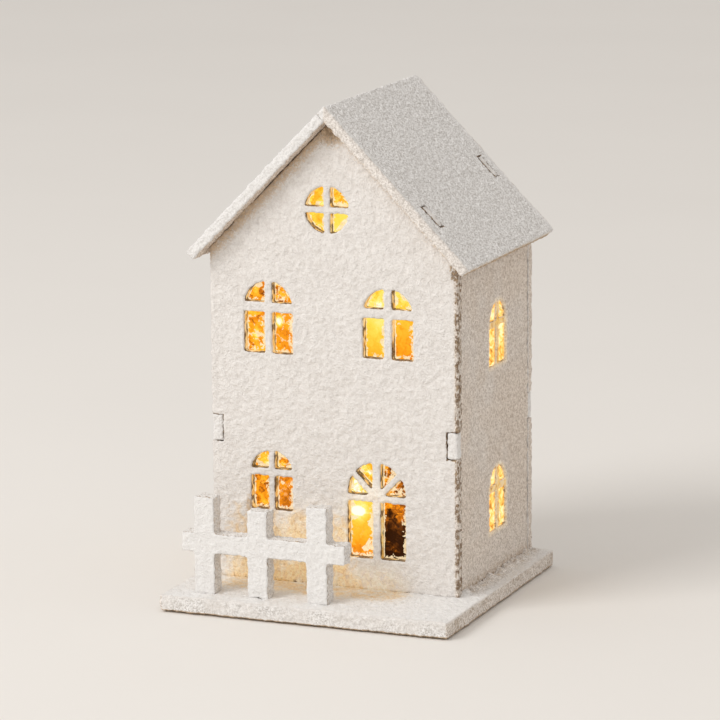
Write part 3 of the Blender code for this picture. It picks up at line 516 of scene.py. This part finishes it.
def base_marks(point, depth, edge, normal):
    """The base: gold with painted warm window light before the house, dark beside it with grit and painted
    shade, with flock heaped along the side walls.
    """
    x = point[:, 0] - HOUSE_X
    y = point[:, 1] - FRONT_Y
    out = np.abs(x)
    top = point[:, 2] > BASE_HIGH.z - 1.0
    # Painted warm window light before the door: gold tint and glow
    before = hump(y, -26, -12, 2, 6)
    across = hump(x, -64, -48, 30, 48)
    # Beside the side walls: grit, and painted shade of the house
    beside = hump(out, 60, 63.5, 65.5, 74) * smooth_step(2, 12, y)
    shaded = np.abs(point[:, 0]) > BASE_HIGH.x - 1
    outer = shaded | (point[:, 1] < BASE_LOW.y + 1) | (point[:, 1] > BASE_HIGH.y - 1)
    patches = smooth_step(0.35, 0.75, value_noise(point, 9.0, 55))
    rim = smooth_step(1.6, 0.4, BASE_HIGH.z - point[:, 2])
    side_grey = edge * (0.16 + 0.55 * patches + 0.5 * shaded) * (1 - 0.5 * rim)
    under = point[:, 2] < BASE_LOW.z + 0.6
    seam = (1 - smooth_step(HALF_WALL + 0.5, HALF_WALL + 5.5, out)) * (out > HALF_WALL - 0.6) * (y > 0.5)
    return dict(
        gold_grit_and_window_light=np.maximum(0.62 * before * across * top, 0.22 * beside * top),
        grey=np.where(outer, side_grey, 0.06 + 0.70 * beside),
        tan=0.72 * under + (0.20 + 0.14 * shaded * patches) * edge * outer + 0.32 * beside * top,
        char_and_shade=np.maximum(0.28 * beside * top, (0.35 + 0.08 * patches) * shaded * edge),
        warm=np.maximum(0.55 * shaded * edge, 0.35 * beside * top),
        white=0.9 * ~outer,
        glow=0.07 * before * across * top,
        lift=2.2 * seam * top * smooth_step(0.35, 0.8, value_noise(point, 2.6, 57)),
    )


def fence_marks(point, depth, edge, normal):
    """The fence's cut sides: brown at the front, flecked at the back and tinted gold by painted warm window
    light towards the house.
    """
    # Sides towards the house get painted warm window light
    inner = point[:, 1] > FRONT_Y - 25
    front_rim = edge * (1 - smooth_step(0.5, 1.3, depth))
    top = point[:, 2] > FOOT + 20.0
    flecks = edge * smooth_step(6.6, 8.0, depth) * top
    char_and_shade = 0.56 * front_rim + 0.44 * flecks + 0.06 * edge
    return dict(
        tan=0.30 * edge,
        grey=0.03 + 0.40 * edge,
        white=1.0 - 0.9 * edge,
        gold_grit_and_window_light=0.52 * edge * inner,
        char_and_shade=char_and_shade,
        calm=0.7 + 1.1 * edge,
    )


def board_axis(node):
    """The unit vector across a board's thickness, outwards from the house."""
    across = {
        "front_wall": (0, -1, 0),
        "fence": (0, -1, 0),
        "rear_wall": (0, 1, 0),
        "left_wall": (-1, 0, 0),
        "right_wall": (1, 0, 0),
        "base_plate": (0, 0, 1),
        "roof_left": (-math.sin(PITCH), 0, math.cos(PITCH)),
        "roof_right": (math.sin(PITCH), 0, math.cos(PITCH)),
    }
    return Vector(across[node])


def welded_copy(node):
    mesh = NODES[node].data.copy()
    work = bmesh.new()
    work.from_mesh(mesh)
    bmesh.ops.remove_doubles(work, verts=work.verts, dist=WELD)
    work.to_mesh(mesh)
    work.free()
    return mesh


STANDING = ("front_wall", "rear_wall", "left_wall", "right_wall", "fence")


def coated_board(node, marks, material, seed):
    """A board with soft edges and a pebbly coat, in place of the plain solid."""
    board = new_object(node + "_coated", welded_copy(node))
    remesh = board.modifiers.new("coat", "REMESH")
    remesh.mode = "VOXEL"
    remesh.voxel_size = COAT_VOXEL
    plain_board = new_object(node + "_plain", welded_copy(node))
    hug = board.modifiers.new("hug", "SHRINKWRAP")
    hug.target = plain_board
    mesh = evaluated(board)
    board.modifiers.clear()
    board.data = mesh
    bpy.data.objects.remove(plain_board)
    place = vertex_rows(mesh, "co")
    normal = vertex_rows(mesh, "normal")
    point = place * 1000
    outward = np.array(board_axis(node))
    level = point @ outward
    plain = vertex_rows(NODES[node].data, "co") @ outward * 1000
    depth = plain.max() - level
    edge = smooth_step(0.15, 0.60, np.minimum(depth, level - plain.min()))
    clumps = 0.12 * value_noise(point, 3.1, seed) + 0.44 * value_noise(point, 1.7, seed + 1)
    clumps = 0.54 + 1.5 * (clumps + 0.44 * value_noise(point, 1.15, seed + 2) - 0.5)
    found = dict(char_and_shade=0.0, tan=0.0, gold_grit_and_window_light=0.0, white=0.0, grey=0.0, warm=0.0, glow=0.0)
    found.update(marks(point, depth, edge, normal))
    relief = COAT_RELIEF * found.pop("calm", 1.0)
    lift = found.pop("lift", 0.0)
    for name, values in found.items():
        write_attribute(mesh, name, np.broadcast_to(values, len(point)))
    write_attribute(mesh, "relief", smooth_step(0.25, 0.85, clumps))
    calm = 1.0 - 0.45 * np.clip(found["char_and_shade"], 0, 1)
    moved = place + normal * ((clumps - 0.55) * 2.0 * relief * calm)[:, None]
    moved[:, 2] += lift * 0.001
    if node in STANDING:
        foot = (point[:, 2] < FOOT + 0.4) & (value_noise(point, 3.0, seed + 5) > 0.30)
        moved[:, 2] -= np.where(foot, FOOT_DIP, 0.0)
    mesh.vertices.foreach_set("co", moved.ravel())
    mesh.materials.clear()
    mesh.materials.append(material)
    mesh.shade_smooth()
    mesh.update()
    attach(board, "house")
    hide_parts(node)


BOARDS = {
    "base_plate": base_marks,
    "front_wall": front_marks,
    "rear_wall": rear_marks,
    "left_wall": side_marks,
    "right_wall": side_marks,
    "roof_left": roof_marks,
    "roof_right": roof_marks,
    "fence": fence_marks,
}


def make_boards():
    coat = coat_look()
    for number, (node, marks) in enumerate(BOARDS.items()):
        coated_board(node, marks, coat, 10 * number + 3)


# Film: levels are how bright each quarter glows, from 0 dark brown over 0.5 orange to 1 pale yellow
GLOW = (
    (0.00, (0.016, 0.004, 0.001)),
    (0.16, (0.11, 0.028, 0.003)),
    (0.34, (0.50, 0.135, 0.007)),
    (0.44, (0.84, 0.25, 0.008)),
    (0.52, (0.93, 0.36, 0.012)),
    (0.66, (0.98, 0.52, 0.035)),
    (0.78, (1.00, 0.70, 0.085)),
    (0.90, (1.00, 0.86, 0.28)),
    (1.00, (1.00, 0.98, 0.80)),
)
CREAM = (1.0, 0.83, 0.52)


def film_look(name, centre, across, quarters, spots, seed):
    """Lit crinkled film. Quarters give level, upward change per mm, mottling and flakes, by side and rise."""
    look = Look(name)
    x, y, z = look.axes()
    u = look.math("SUBTRACT", x if across == "x" else y, centre[0])
    v = look.math("SUBTRACT", z, centre[1])
    shifted = look.node("ShaderNodeVectorMath", operation="ADD")
    look.put(shifted.inputs[0], look.place)
    shifted.inputs[1].default_value = (seed * 37.0, seed * 11.0, seed * 5.0)
    place = shifted.outputs[0]
    right = look.math("GREATER_THAN", u, 0.0)
    upper = look.math("GREATER_THAN", v, 0.0)

    def by_quarter(index):
        value = None
        for (side, rise), numbers in quarters.items():
            beside = right if side > 0 else look.inverse(right)
            above = upper if rise > 0 else look.inverse(upper)
            part = look.math("MULTIPLY", look.math("MULTIPLY", beside, above), numbers[index])
            value = part if value is None else look.math("ADD", value, part)
        return value

    crumple = look.noise(0.15, 1.5, 0.5, 1.6, place)
    folds = look.noise(0.36, 1.5, 0.5, 1.2, place)
    warped = look_warp(look, place)
    facet = look.node("ShaderNodeTexVoronoi", feature="F1")
    look.put(facet.inputs["Vector"], warped)
    facet.inputs["Scale"].default_value = 0.25
    parts = look.node("ShaderNodeSeparateColor")
    look.put(parts.inputs[0], facet.outputs["Color"])
    mottle = look.centred(parts.outputs[0], 0.8)
    mottle = look.math("ADD", mottle, look.centred(crumple, 1.1))
    mottle = look.math("ADD", mottle, look.centred(folds, 1.2))
    level = look.math("ADD", by_quarter(0), look.math("MULTIPLY", v, by_quarter(1)))
    level = look.math("ADD", level, look.math("MULTIPLY", mottle, by_quarter(2)))
    for spot_u, spot_v, wide, high, strength in spots:
        du = look.math("DIVIDE", look.math("SUBTRACT", u, spot_u), wide)
        dv = look.math("DIVIDE", look.math("SUBTRACT", v, spot_v), high)
        far = look.math("SQRT", look.weighted((du, du), (dv, dv)))
        level = look.math("ADD", level, look.between(far, 0.1, 1.0, strength, 0.0))
    crease = look.math("ABSOLUTE", look.math("SUBTRACT", look.noise(0.20, 1.5, 0.5, 1.4, place), 0.5))
    crease = look.math("MULTIPLY", look.between(crease, 0.006, 0.030, 0.42, 0.0), by_quarter(2))
    level = look.math("SUBTRACT", level, crease)
    flake_room = look.inverse(look.math("MULTIPLY", by_quarter(3), 0.45))
    flakes = look.between(look.math("SUBTRACT", parts.outputs[1], flake_room), 0.0, 0.01)
    rim = look.between(look.cells(0.25, "DISTANCE_TO_EDGE", warped), 0.03, 0.12, 1.0, 0.0)
    rim_room = look.math("MULTIPLY", look.between(folds, 0.50, 0.54), look.between(by_quarter(3), 0.2, 0.5))
    rim = look.math("MULTIPLY", rim, rim_room)
    rag = look.attribute("rag")
    ragged = look.math("ADD", look.math("MULTIPLY", look.noise(0.36, 3.0, 0.62, 0.9, place), 10.0), -4.15)
    crumbs = look.between(look.math("SUBTRACT", ragged, rag), -0.15, 0.2)
    pale = look.math("MAXIMUM", look.math("MAXIMUM", crumbs, flakes), rim)
    glow = look.ramp(look.math("MAXIMUM", level, 0.0, clamp=True), GLOW)
    shade = look.between(look.noise(1.0, 2.0, 0.6, 0.5, place), 0.35, 0.62)
    shade = look.math("ADD", look.math("MULTIPLY", shade, 0.3), 0.7)
    cream_level = look.math("MULTIPLY", look.between(level, 0.0, 0.5, 0.84, 1.0), shade)
    cream = look.mix(cream_level, (0.40, 0.15, 0.03), CREAM)
    colour = look.mix(look.math("MULTIPLY", pale, 0.90), glow, cream)
    look.set(base_color=(0.022, 0.007, 0.001), roughness=0.34, specular_ior_level=0.04, emission_strength=1.1)
    look.put(look.shader.inputs["Emission Color"], colour)
    look.bump(look.math("ADD", crumple, look.math("MULTIPLY", folds, 0.6)), 0.0010, 0.8)
    return look.material


def look_warp(look, place):
    """The place moved about by noise, so that cells get crooked edges."""
    noise = look.node("ShaderNodeTexNoise")
    look.put(noise.inputs["Vector"], place)
    noise.inputs["Scale"].default_value = 0.35
    offset = look.node("ShaderNodeVectorMath", operation="MULTIPLY_ADD")
    look.put(offset.inputs[0], noise.outputs["Color"])
    offset.inputs[1].default_value = (4.0, 4.0, 4.0)
    look.put(offset.inputs[2], place)
    return offset.outputs[0]


def jamb_tree(wall, outward):
    """A search tree of the faces that line the window openings of a wall."""
    mesh = welded_copy(wall)
    low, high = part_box(wall)
    points = [v.co.copy() for v in mesh.vertices]
    along_x = abs(outward.y) > 0.5
    first, last = (low.x, high.x) if along_x else (low.y, high.y)
    margin = 0.0055 if along_x else 0.0090
    lowest, highest = low.z + 0.004, high.z - 0.02
    faces = []
    for face in mesh.polygons:
        if abs(face.normal.dot(outward)) > 0.5:
            continue
        centre = face.center
        across = centre.x if along_x else centre.y
        if first + margin < across < last - margin and lowest < centre.z < highest:
            faces.append(tuple(face.vertices))
    bpy.data.meshes.remove(mesh)
    return BVHTree.FromPolygons(points, faces)


def crinkled_film(node, wall, material, seed):
    """A finely divided sheet over the film's outline, crinkled within its window panes."""
    outward = board_axis(wall)
    along_x = abs(outward.y) > 0.5
    low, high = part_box(node)
    work = bmesh.new()
    work.from_mesh(NODES[node].data)
    bmesh.ops.remove_doubles(work, verts=work.verts, dist=WELD)
    drop = [f for f in work.faces if f.normal.dot(outward) < 0.5]
    bmesh.ops.delete(work, geom=drop, context="FACES")
    bmesh.ops.dissolve_limit(work, angle_limit=0.01, verts=work.verts, edges=work.edges)
    first, last = (low.x, high.x) if along_x else (low.y, high.y)
    normal = Vector((1, 0, 0)) if along_x else Vector((0, 1, 0))
    for start, stop, direction in ((first, last, normal), (low.z, high.z, Vector((0, 0, 1)))):
        for index in range(1, int((stop - start) / FILM_STEP) + 1):
            place = direction * (start + index * FILM_STEP)
            geometry = work.verts[:] + work.edges[:] + work.faces[:]
            bmesh.ops.bisect_plane(work, geom=geometry, dist=1e-7, plane_co=place, plane_no=direction)
    mesh = bpy.data.meshes.new(node + "_crinkled")
    work.to_mesh(mesh)
    work.free()
    tree = jamb_tree(wall, outward)
    point = vertex_rows(mesh, "co")
    facing = outward.x - outward.y
    # Distance from the opening's lining in mm, changed so that one side and the sill are torn more
    rag = np.empty(len(point))
    for index, co in enumerate(point):
        near, _, _, distance = tree.find_nearest(Vector(co))
        step_across = (near.x - co[0]) if along_x else (near.y - co[1])
        gap = distance * 1000
        if step_across * facing > 0.3 * distance:
            rag[index] = gap - 2.0
        elif near.z - co[2] < -0.6 * distance:
            rag[index] = gap
        else:
            rag[index] = gap * 2.6
    write_attribute(mesh, "rag", rag)
    inner = smooth_step(-1.0, 2.2, rag)
    place = point * 1000
    crease = ridged(place, 4.5, seed) ** 2 - 0.35
    puff = value_noise(place, 7.0, seed + 4) - 0.5
    shift = (0.55 * crease + 0.9 * puff) * 0.001 * inner
    shift = np.clip(shift, CRINKLE_IN, CRINKLE_OUT)
    mesh.vertices.foreach_set("co", (point + shift[:, None] * np.array(outward)).ravel())
    mesh.materials.clear()
    mesh.materials.append(material)
    mesh.shade_smooth()
    sheet = new_object(node + "_crinkled", mesh)
    thicken = sheet.modifiers.new("thickness", "SOLIDIFY")
    thicken.thickness = FILM_THICKNESS
    thicken.offset = -1.0
    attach(sheet, "house")
    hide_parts(node)


LEFT_UP, RIGHT_UP, LEFT_LOW, RIGHT_LOW = (-1, 1), (1, 1), (-1, -1), (1, -1)


def panes(left_up, right_up, left_low, right_low):
    return {LEFT_UP: left_up, RIGHT_UP: right_up, LEFT_LOW: left_low, RIGHT_LOW: right_low}


# Each window's bar centre from the wall's middle and foot in mm, its quarters, and its bright spots
FRONT_FILMS = {
    "film_front_round": (
        (-2.7, 181.5),
        panes(
            (0.68, 0.0, 0.20, 0.05), (0.66, 0.0, 0.34, 0.15),
            (0.72, 0.0, 0.24, 0.1), (0.80, 0.0, 0.05, 0.0),
        ),
        ((-3.6, 1.6, 3.0, 2.0, 0.20), (-2.6, -5.6, 2.0, 3.4, 0.20)),
    ),
    "film_front_upper_left": (
        (-33.3, 133.0),
        panes(
            (0.50, 0.0, 0.34, 0.12), (0.51, 0.0, 0.40, 0.4),
            (0.58, 0.0, 0.26, 0.5), (0.52, 0.0, 0.16, 0.4),
        ),
        ((-2.6, -13.6, 2.0, 3.4, 0.55), (3.6, -7.4, 3.0, 4.0, 0.62), (-8.6, -14.0, 2.6, 5.0, 0.18)),
    ),
    "film_front_upper_right": (
        (27.8, 133.6),
        panes(
            (0.84, 0.0, 0.22, 0.15), (0.78, 0.0, 0.14, 0.1),
            (0.86, 0.012, 0.08, 0.0), (0.66, 0.009, 0.13, 0.1),
        ),
        ((-6.4, 3.0, 2.4, 4.6, 0.16), (-6.2, -6.0, 5.0, 6.0, 0.05)),
    ),
    "film_front_lower_left": (
        (-32.4, 52.8),
        panes(
            (0.62, 0.0, 0.45, 0.5), (0.58, 0.0, 0.40, 0.5),
            (0.47, 0.0, 0.34, 0.06), (0.43, 0.0, 0.16, 0.30),
        ),
        ((-4.0, 3.4, 3.0, 3.0, 0.22), (3.6, 2.8, 2.6, 2.6, 0.20)),
    ),
    "film_front_door": (
        (21.5, 44.2),
        panes(
            (0.74, 0.0, 0.46, 0.12), (0.48, 0.0, 0.50, 0.4),
            (0.80, 0.012, 0.10, 0.25), (0.56, 0.027, 0.42, 0.12),
        ),
        (
            (-11.6, 3.6, 4.4, 5.0, 0.45), (-11.6, -8.0, 4.6, 2.9, 0.62),
            (-11.0, -8.0, 8.0, 9.0, 0.18), (3.0, -25.5, 6.0, 2.4, 0.26),
        ),
    ),
}
REAR_FILMS = {
    "film_rear_round": (-2.7, 181.5),
    "film_rear_upper_left": (-30.0, 133.0),
    "film_rear_upper_right": (30.0, 133.0),
    "film_rear_lower_left": (-30.0, 52.8),
    "film_rear_lower_right": (30.0, 52.8),
}
SIDE_FILMS = (("left", "upper"), ("left", "lower"), ("right", "upper"), ("right", "lower"))
SIDE_HEIGHTS = {"upper": 122.0, "lower": 41.3}


def make_front_films():
    for number, (node, (centre, quarters, spots)) in enumerate(FRONT_FILMS.items(), 1):
        middle = (centre[0] + HOUSE_X, centre[1] + FOOT)
        look = film_look(node, middle, "x", quarters, spots, number)
        crinkled_film(node, "front_wall", look, 100 + 10 * number)


def make_rear_films():
    for number, (node, centre) in enumerate(REAR_FILMS.items(), 1):
        middle = (centre[0] + HOUSE_X, centre[1] + FOOT)
        tone = 0.60 + 0.05 * (number % 3)
        quarters = panes(
            (tone + 0.08, 0.0, 0.4, 0.6), (tone, 0.0, 0.3, 0.5),
            (tone, 0.006, 0.3, 0.5), (tone + 0.05, 0.004, 0.25, 0.4),
        )
        look = film_look(node, middle, "x", quarters, ((3.0, -6.0, 5.0, 6.0, 0.22),), 20 + number)
        crinkled_film(node, "rear_wall", look, 200 + 10 * number)


def make_side_films():
    quarters = panes(
        (0.64, 0.0, 0.6, 0.28), (0.70, 0.0, 0.5, 0.25),
        (0.60, 0.0, 0.55, 0.25), (0.74, 0.0, 0.45, 0.22),
    )
    for number, (side, rise) in enumerate(SIDE_FILMS, 1):
        node = f"film_{side}_{rise}"
        low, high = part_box(node)
        middle = ((low.y + high.y) / 2 * 1000, SIDE_HEIGHTS[rise] + FOOT)
        look = film_look(node, middle, "y", quarters, ((5.0, -6.0, 5.0, 7.0, 0.18),), 40 + number)
        crinkled_film(node, side + "_wall", look, 300 + 10 * number)


def plastic_look(name, colour, roughness, grain):
    look = Look(name)
    patch = look.noise(0.12, 3.0, 0.6)
    texture = look.noise(grain, 3.0, 0.6)
    lighter = tuple(min(1.0, c * 1.35 + 0.01) for c in colour)
    look.set(base_color=look.mix(look.between(patch, 0.35, 0.7), colour, lighter), specular_ior_level=0.45)
    sheen = look.between(texture, 0.3, 0.7, roughness - 0.08, roughness + 0.10)
    look.put(look.shader.inputs["Roughness"], sheen)
    look.bump(texture, 0.00006, 0.5)
    return look.material


def metal_look(name, colour, roughness, scale):
    look = Look(name)
    brushed = look.noise(scale, 4.0, 0.7, 0.2, look.stretched(0.15, 1.0, 1.0))
    patchy = look.noise(0.5, 3.0, 0.6)
    darker = tuple(c * 0.62 for c in colour)
    look.set(base_color=look.mix(look.between(patchy, 0.55, 0.8), colour, darker), metallic=1.0)
    look.put(look.shader.inputs["Roughness"], look.between(brushed, 0.3, 0.7, roughness, roughness + 0.18))
    look.bump(brushed, 0.00003, 0.4)
    return look.material


def felt_look():
    look = Look("felt")
    fibre = look.noise(2.6, 5.0, 0.75, 1.5)
    tuft = look.noise(0.8, 3.0, 0.6)
    colour = look.ramp(look.weighted((fibre, 0.7), (tuft, 0.3)), (
        (0.3, (0.05, 0.038, 0.03)), (0.6, (0.13, 0.10, 0.08)), (0.8, (0.24, 0.20, 0.16))
    ))
    look.set(base_color=colour)
    look.set(roughness=0.98, specular_ior_level=0.1, sheen_weight=0.4, sheen_roughness=0.6)
    look.bump(fibre, 0.0003, 0.9)
    return look.material


def cell_look(name, middle, nub_side):
    """A plain sleeve with a pale ring at its positive end, and bare metal at both ends."""
    look = Look(name)
    x, _, _ = look.axes()
    along = look.math("MULTIPLY", look.math("SUBTRACT", x, middle), nub_side)
    wear = look.noise(0.9, 4.0, 0.7)
    sleeve = look.mix(look.between(wear, 0.45, 0.75), (0.035, 0.11, 0.075), (0.07, 0.17, 0.12))
    ring_start, ring_end, sleeve_end, soft = 16.8, 20.4, 20.9, 0.2
    ring = look.between(along, ring_start, ring_start + soft)
    ring = look.math("MULTIPLY", ring, look.between(along, ring_end, ring_end + soft, 1.0, 0.0))
    sleeve = look.mix(ring, sleeve, (0.55, 0.54, 0.50))
    ends = look.between(look.math("ABSOLUTE", along), sleeve_end, sleeve_end + soft)
    look.set(base_color=look.mix(ends, sleeve, (0.60, 0.59, 0.56)))
    look.put(look.shader.inputs["Metallic"], ends)
    look.put(look.shader.inputs["Roughness"], look.between(wear, 0.3, 0.7, 0.26, 0.42))
    look.bump(wear, 0.00004, 0.4)
    return look.material


def lamp_look():
    look = Look("lamp_drop")
    core = look.noise(1.4, 2.0, 0.5)
    glow = look.ramp(core, ((0.3, (1.0, 0.62, 0.20)), (0.7, (1.0, 0.90, 0.62))))
    look.put(look.shader.inputs["Emission Color"], glow)
    look.set(base_color=(0.95, 0.78, 0.45), roughness=0.12, emission_strength=2.0)
    look.set(coat_weight=0.6, coat_roughness=0.05)
    look.bump(core, 0.00008, 0.5)
    return look.material


def dress(material, *nodes):
    """Gives carried-over solids a better material."""
    for node in nodes:
        slots = NODES[node].data.materials
        slots.clear()
        slots.append(material)


def dress_inner_parts():
    black = plastic_look("black_plastic", (0.018, 0.018, 0.020), 0.42, 2.4)
    dress(black, "battery_box", "battery_cover", "switch_slider")
    dress(plastic_look("white_plastic", (0.70, 0.69, 0.66), 0.34, 1.8), "switch_body")
    steel = metal_look("spring_steel", (0.62, 0.61, 0.58), 0.20, 2.0)
    dress(steel, "bridge_contact", "positive_contact", "negative_contact", "spring_1", "spring_2")
    dress(metal_look("copper_lead", (0.74, 0.40, 0.22), 0.24, 3.0), "lamp_lead")
    dress(felt_look(), "foot_pad_1", "foot_pad_2", "foot_pad_3", "foot_pad_4")
    dress(lamp_look(), *[f"lamp_{number}" for number in range(1, 7)])
    for node, nub_side in (("cell_1", 1.0), ("cell_2", -1.0)):
        low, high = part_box(node)
        dress(cell_look(node, (low.x + high.x) / 2 * 1000, nub_side), node)


# Floor, light and camera
def make_floor():
    """A pale floor, open under the base and clear from below, so that the underside can be looked at."""
    work = bmesh.new()
    bmesh.ops.create_circle(work, segments=96, radius=9.0)
    inset = 5.0
    corners = [
        work.verts.new(((x + sign_x * inset) / 1000, (y + sign_y * inset) / 1000, 0.0))
        for x, sign_x, y, sign_y in (
            (BASE_LOW.x, 1, BASE_LOW.y, 1), (BASE_HIGH.x, -1, BASE_LOW.y, 1),
            (BASE_HIGH.x, -1, BASE_HIGH.y, -1), (BASE_LOW.x, 1, BASE_HIGH.y, -1),
        )
    ]
    for index, corner in enumerate(corners):
        work.edges.new((corner, corners[(index + 1) % 4]))
    bmesh.ops.triangle_fill(work, use_beauty=True, edges=work.edges[:], normal=(0.0, 0.0, 1.0))
    mesh = bpy.data.meshes.new("floor")
    work.to_mesh(mesh)
    work.free()
    floor = new_object("floor", mesh)
    look = Look("floor")
    cloud = look.noise(0.004, 3.0, 0.5)
    colour = look.mix(cloud, (0.80, 0.775, 0.74), (0.83, 0.805, 0.77))
    look.set(base_color=colour, roughness=0.8, specular_ior_level=0.2)
    side = look.node("ShaderNodeNewGeometry")
    clear = look.node("ShaderNodeBsdfTransparent")
    one_sided = look.node("ShaderNodeMixShader")
    look.put(one_sided.inputs[0], side.outputs["Backfacing"])
    look.put(one_sided.inputs[1], look.shader.outputs[0])
    look.put(one_sided.inputs[2], clear.outputs[0])
    look.put(look.output.inputs["Surface"], one_sided.outputs[0])
    mesh.materials.append(look.material)


def add_area(name, direction, distance, size, power, colour):
    lamp = bpy.data.lights.new(name, "AREA")
    lamp.size = size
    lamp.energy = power
    lamp.color = colour
    made = new_object(name, lamp)
    away = Vector(direction).normalized()
    made.location = Vector((0, 0, 0.1)) + away * distance
    made.rotation_euler = away.to_track_quat("Z", "Y").to_euler()


def make_light():
    world = bpy.data.worlds.new("studio")
    world.use_nodes = True
    background = world.node_tree.nodes["Background"]
    background.inputs["Color"].default_value = (1.0, 0.965, 0.93, 1.0)
    background.inputs["Strength"].default_value = 0.715
    bpy.context.scene.world = world
    key_direction = (-0.45, -0.62, 0.64)
    add_area("key", key_direction, distance=3.0, size=1.4, power=43.5, colour=(1.0, 0.99, 0.98))


def make_camera():
    """The viewpoint solved from the photograph's points, with distances in mm and image places in pixels."""
    azimuth, elevation, roll = (math.radians(angle) for angle in (22.277, 11.709, -0.45))
    focal_pixels, distance, shown_x, shown_y = 4044.786, 1936.76, 357.081, 343.654
    frame_pixels, sensor = 720.0, 36.0
    away = Vector((
        math.sin(azimuth) * math.cos(elevation), -math.cos(azimuth) * math.cos(elevation), math.sin(elevation)
    ))
    right = Vector((math.cos(azimuth), math.sin(azimuth), 0.0))
    up = away.cross(right)
    turned_right = right * math.cos(roll) + up * math.sin(roll)
    turned_up = up * math.cos(roll) - right * math.sin(roll)
    offset_x = (shown_x - frame_pixels / 2) / focal_pixels * distance
    offset_y = (shown_y - frame_pixels / 2) / focal_pixels * distance
    behind_front, above_base = 30.0, 120.0
    target = Vector((HOUSE_X, FRONT_Y + behind_front, BASE_LOW.z + above_base))
    eye = target + away * distance - turned_right * offset_x + turned_up * offset_y
    data = bpy.data.cameras.new("camera")
    data.sensor_width = sensor
    data.lens = focal_pixels / frame_pixels * sensor
    data.clip_start = 0.01
    camera = new_object("camera", data)
    axes = Matrix((turned_right, turned_up, away)).transposed().to_4x4()
    camera.matrix_world = Matrix.Translation(eye / 1000) @ axes
    bpy.context.scene.camera = camera


make_boards()
make_front_films()
make_rear_films()
make_side_films()
dress_inner_parts()
make_floor()
make_light()
make_camera()
bpy.context.scene.view_settings.view_transform = "Standard"
